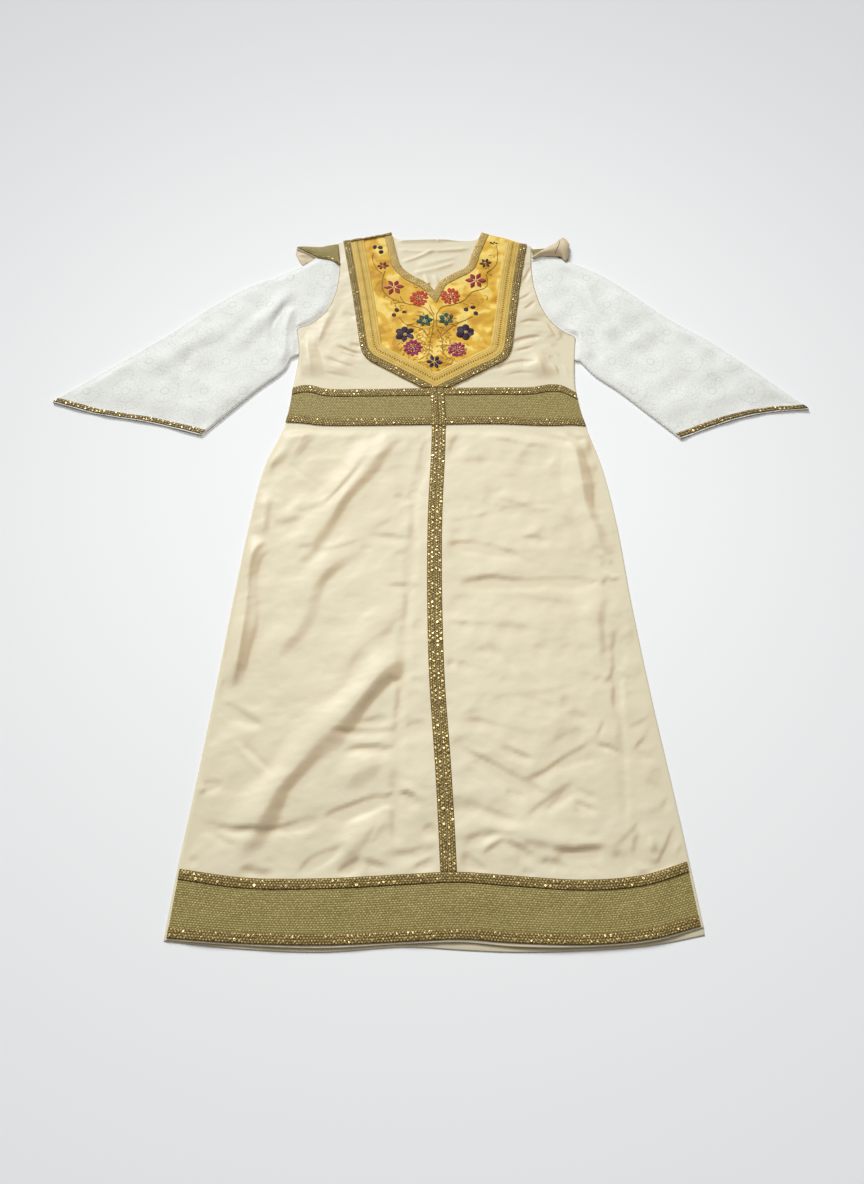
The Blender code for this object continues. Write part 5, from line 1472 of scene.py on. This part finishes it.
class Finish:
    """A material under way. Its look is worked out from a place on the cloth or in its pattern."""

    def __init__(self, name, base, roughness, sheen=0.0, sheen_tint=None, metal=0.0):
        self.material = bpy.data.materials.new(name)
        self.material.use_nodes = True
        self.tree = self.material.node_tree
        self.shader = self.tree.nodes["Principled BSDF"]
        for socket, value in (
            ("Base Color", base), ("Roughness", roughness), ("Metallic", metal), ("Specular IOR Level", 0.25),
            ("Sheen Weight", sheen), ("Sheen Roughness", 0.4), ("Sheen Tint", sheen_tint or base),
        ):
            self.shader.inputs[socket].default_value = value

    def on_cloth(self):
        return node(self.tree, "TexCoord", "Object")

    def pattern(self):
        """The cloth's own measure: a place in it, and the metres along and across it."""
        uv = node(self.tree, "UVMap", uv_map="Pattern")
        return uv, *parts(uv)

    def show(self, socket, value):
        self.tree.links.new(value.socket, self.shader.inputs[socket])

    def raise_up(self, height, distance, strength):
        sockets = {"Height": height, "Distance": distance, "Strength": strength}
        self.show("Normal", node(self.tree, "Bump", 0, sockets))


def calc(operation, *values):
    return node(values[0].tree, "Math", 0, dict(enumerate(values)), operation=operation)


def parts(place):
    """The first two of a place's three numbers."""
    first = node(place.tree, "SeparateXYZ", 0, {0: place})
    return first, Value(first.socket.node.outputs[1])


def distance(a, b):
    return calc("SQRT", a * a + b * b)


def noise(where, scale, detail=2.0, roughness=0.5):
    return node(where.tree, "TexNoise", "Fac",
                {"Vector": where, "Scale": scale, "Detail": detail, "Roughness": roughness})


def between(value, low, high, to_low=0.0, to_high=1.0):
    """A value's softened rise from low to high, remapped."""
    return node(value.tree, "MapRange", "Result", {
        "Value": value, "From Min": low, "From Max": high, "To Min": to_low, "To Max": to_high,
    }, interpolation_type="SMOOTHSTEP")


def hoop(far, start, full, fall, end):
    """1 from full to fall, 0 before the start and past the end."""
    return between(far, start, full) * between(far, fall, end, 1, 0)


def blend(share, first, second):
    return node(share.tree, "Mix", 2, {"Factor": share, 6: first, 7: second}, data_type="RGBA")


def staggered(along, across, pitch, row):
    """Where a point lies in a cell of staggered rows: the distances along and across from its middle."""
    line = calc("FLOOR", across / row)
    cell = calc("FRACT", (along + line * (pitch / 2)) / pitch)
    return (cell - 0.5) * pitch, across - line * row - row / 2


def spot(a, b, long, wide):
    """1 inside an oval, 0 outside, with a soft edge."""
    return between(distance(a / long, b / wide), 0.65, 1.35, 1, 0)


def satin_finish(name, light, dark, shade_colour):
    finish = Finish(name, light, 0.42, 0.10)
    where, uv = finish.on_cloth(), finish.pattern()[0]
    base = blend(between(noise(where, 7, 3), 0.38, 0.72, 0.0, 0.5), light, dark)
    # Painted shade: the colour darkens towards the last colour given where the cloth lies deep in a fold or
    # faces away from the light.
    painted_shade = node(finish.tree, "Attribute", "Fac", attribute_name="painted_shade")
    finish.show("Base Color", blend(painted_shade * 0.9, base, shade_colour))
    slub = node(finish.tree, "Mapping", 0, {"Vector": uv, "Scale": (70, 900, 1)})
    finish.raise_up(noise(slub, 1.0, 2) * 0.25 + noise(where, 70, 3, 0.6), 0.0007, 0.5)
    return finish.material


def lace_finish():
    """A fine net with rosettes: a round eye, twelve petals and a rim."""
    light, thread = colour(243, 244, 239), colour(208, 210, 203)
    finish = Finish("lace", light, 0.8, 0.05)
    where = finish.on_cloth()
    placed = node(finish.tree, "VectorMath", 0, {0: where, 1: ROSETTE_START}, operation="SUBTRACT")
    a, b = staggered(*parts(placed), *ROSETTE_PITCH)
    far = distance(a, b) + (noise(where, 90, 2) - 0.5) * 0.006
    disc = between(far, 0.020, 0.025, 1, 0)
    eye = hoop(far, 0.0042, 0.0068, 0.0068, 0.0095)
    petals = between(calc("COSINE", calc("ARCTAN2", b, a) * 12), -0.2, 0.9)
    petals = petals * hoop(far, 0.009, 0.012, 0.018, 0.021)
    rim = hoop(far, 0.0205, 0.0230, 0.0230, 0.0260)
    loops = between(abs(noise(where, 230, 2, 0.6) - 0.5), 0.0, 0.09, 1, 0)
    holes = between(noise(where, 430, 1), 0.50, 0.70, 0, 0.72)
    patchy = between(noise(where, 40, 3), 0.35, 0.65, 0.35, 0.75)
    grey = (loops * 0.28 + holes) * (between(disc, 0, 1, 1.0, 0.55) * patchy)
    grey = calc("MINIMUM", grey + eye * 0.40 + petals * 0.16 + rim * 0.12, 1)
    finish.show("Base Color", blend(grey, light, thread))
    finish.raise_up(disc * 0.5 - grey * 1.2, 0.0008, 0.5)
    return finish.material


def velvet_finish():
    """Crushed velvet: patches of painted highlight and painted shade, where its nap leans to and from the
    light, over a bump of the same pattern.
    """
    gold, pale, shade_colour = colour(226, 178, 52), colour(246, 214, 112), colour(202, 148, 36)
    finish = Finish("velvet", gold, 0.55, 0.25, pale)
    where = finish.on_cloth()
    bend = node(finish.tree, "TexNoise", "Color", {"Vector": where, "Scale": 16, "Detail": 2})
    shift = node(finish.tree, "VectorMath", 0, {0: bend, "Scale": 0.09}, operation="SCALE")
    moved = node(finish.tree, "VectorMath", 0, {0: where, 1: shift}, operation="ADD")
    crushed = noise(moved, 30, 2, 0.45)
    # Painted highlight in the palest patches, painted shade in the darkest.
    mix = blend(between(crushed, 0.50, 0.60), gold, pale)
    finish.show("Base Color", blend(between(crushed, 0.34, 0.48, 1, 0), mix, shade_colour))
    finish.raise_up(crushed, 0.004, 0.5)
    return finish.material


def braid_finish(name, ground, dots, pitch, row, size, metal=0.0, depth=0.0006):
    """A woven band with staggered rows of raised pale dots. Some dots are duller than others."""
    finish = Finish(name, ground, 0.5, metal=metal)
    uv, along, across = finish.pattern()
    dot = spot(*staggered(along, across, pitch, row), *size)
    worn = between(noise(uv, 330, 1), 0.36, 0.62, 0.15, 1)
    under = blend(between(noise(uv, 500, 2), 0.45, 0.7, 0.0, 0.45), ground, dots)
    finish.show("Base Color", blend(dot * worn, under, dots))
    finish.show("Roughness", between(dot, 0, 1, 0.6, 0.35))
    finish.raise_up(dot * 0.8 + noise(uv, 900, 1) * 0.5, depth, 0.9)
    return finish.material


def zigzag_finish():
    """A pale gold braid between thin light lines, with a dotted zigzag down the middle."""
    ground, pale, dots = colour(212, 172, 74), colour(240, 214, 128), colour(112, 84, 34)
    finish = Finish("pale_braid", ground, 0.5)
    _, along, across = finish.pattern()
    swing = abs(calc("FRACT", along / ZIGZAG) - 0.5) * ZIGZAG_SWING
    a, _ = staggered(along, across, ZIGZAG / 2, 1.0)
    zigzag = spot(a, across - ZIGZAG_START - swing, 0.0013, 0.0014)
    first, *others = (between(abs(across - place), 0.0004, 0.0011, 1, 0) for place in THIN_LINES)
    lines = first
    for other in others:
        lines = calc("MAXIMUM", lines, other)
    knots = spot(*staggered(along, across, 0.0046, 0.0030), 0.0012, 0.0009)
    base = blend(lines * 0.8, blend(knots * 0.55, ground, pale), pale)
    finish.show("Base Color", blend(zigzag, base, dots))
    finish.raise_up(knots * 0.6 + lines - zigzag, 0.0007, 0.8)
    return finish.material


def thread_finish(name, base):
    """Satin stitch: fine threads that run across a petal, with a soft shine."""
    finish = Finish(name, base, 0.42, 0.2)
    _, along, _ = finish.pattern()
    finish.raise_up(calc("SINE", along * (2 * math.pi / THREADS_APART)) * 0.5 + 0.5, 0.0005, 0.5)
    return finish.material


def sequin_finish():
    """A gold cup with a dark hole in the middle, from which its pattern runs out."""
    bright, hole = colour(226, 202, 142), colour(112, 86, 42)
    finish = Finish("sequin", bright, 0.30, metal=0.65)
    _, along, across = finish.pattern()
    finish.show("Base Color", blend(between(distance(along, across), 0.18, 0.40), hole, bright))
    return finish.material


# Each satin's last colour is the painted shade of its folds and of slopes turned away from the light.
satin = satin_finish("satin", colour(232, 222, 193), colour(227, 214, 182), colour(210, 184, 146))
# The lining is the same cream satin drawn darker all over: painted shade where the wings' linings lie shaded.
lining = satin_finish("lining", colour(216, 198, 166), colour(204, 182, 148), colour(176, 146, 112))
lace = lace_finish()
velvet = velvet_finish()
# Ground and dots, the dots' pitch and rows, their half sizes, how metallic they are, how far they stand up.
brocade = braid_finish("brocade", colour(133, 116, 58), colour(214, 200, 140), 0.0046, 0.0032,
                       (0.0016, 0.0008))
olive_braid = braid_finish("olive_braid", colour(94, 72, 32), colour(224, 200, 128), 0.0046, 0.0036,
                           (0.0014, 0.0011), 0.1, 0.0009)
cuff_braid = braid_finish("cuff_braid", colour(84, 62, 30), colour(216, 192, 134), 0.0052, 0.0050,
                          (0.0017, 0.0016), 0.1, 0.0010)
neck_braid = braid_finish("neck_braid", colour(168, 136, 66), colour(232, 206, 136), 0.0044, 0.0025,
                          (0.0018, 0.0008), 0.1)
pale_braid = zigzag_finish()
sequin = sequin_finish()
# The seam thread's tan is partly painted shadow along the armholes.
THREADS = {
    "plum": (58, 28, 40), "wine": (120, 30, 38), "brown": (84, 50, 32), "crimson": (148, 26, 46),
    "coral": (196, 66, 46), "teal": (34, 78, 64), "purple": (44, 14, 46), "magenta": (152, 28, 88),
    "navy": (22, 18, 66), "seam": (186, 164, 128), "gold": (206, 156, 54), "stem": (128, 92, 38),
    "light": (220, 180, 150),
}
threads = {name: thread_finish("thread_" + name, colour(*rgb)) for name, rgb in THREADS.items()}


# ---- the dress

build_skirt()
build_bodice()
build_waist()
build_chest()
build_strips()
for right, hand in enumerate(("left", "right")):
    plan, height = build_sleeve("sleeve_" + hand, bool(right))
    build_cuff("cuff_braid_" + hand, bool(right), plan, height)
build_seams()
build_wings()
sew_sequins()
embroider()

# ---- camera, light and backdrop

# The camera stands where the dress's straight lines put it, and looks 66.5 degrees down from level.
camera_data = bpy.data.cameras.new("camera")
camera = bpy.data.objects.new("camera", camera_data)
bpy.context.scene.collection.objects.link(camera)
camera.location = (0.012, -0.753, 1.504)
camera.rotation_euler = (math.radians(23.5), 0, 0)
camera_data.lens = 30.405
camera_data.shift_x = -5 / 1184
bpy.context.scene.camera = camera

floor = bpy.data.objects.new("floor", bpy.data.meshes.new("floor"))
corners = [(x * 6, y * 6, -0.0005) for x, y in ((-1, -1), (1, -1), (1, 1), (-1, 1))]
floor.data.from_pydata(corners, [], [(0, 1, 2, 3)])
bpy.context.scene.collection.objects.link(floor)
floor.data.materials.append(Finish("floor", colour(249, 250, 251), 0.9).material)

world = bpy.data.worlds.new("room")
bpy.context.scene.world = world
world.use_nodes = True
world.node_tree.nodes["Background"].inputs["Color"].default_value = (1.0, 0.94, 0.87, 1)
world.node_tree.nodes["Background"].inputs["Strength"].default_value = 0.15


def lamp(name, kind, place, target, power, tint, **shape):
    """A soft light that looks from its place to a target."""
    data = bpy.data.lights.new(name, kind)
    data.energy, data.color = power, tint
    for key, value in shape.items():
        setattr(data, key, value)
    made = bpy.data.objects.new(name, data)
    made.location = place
    made.rotation_euler = (Vector(target) - Vector(place)).to_track_quat("-Z", "Y").to_euler()
    bpy.context.scene.collection.objects.link(made)


lamp("window", "SUN", (-0.75, 1.8, 1.45), (0, 0, 0), 2.75, (0.93, 0.97, 1.0), angle=math.radians(20))
lamp("overhead", "AREA", (-0.05, 0.25, 1.35), (0, -0.1, 0), 7.2, (1, 0.97, 0.93), shape="DISK", size=0.9)
bpy.context.scene.view_settings.view_transform = "Standard"
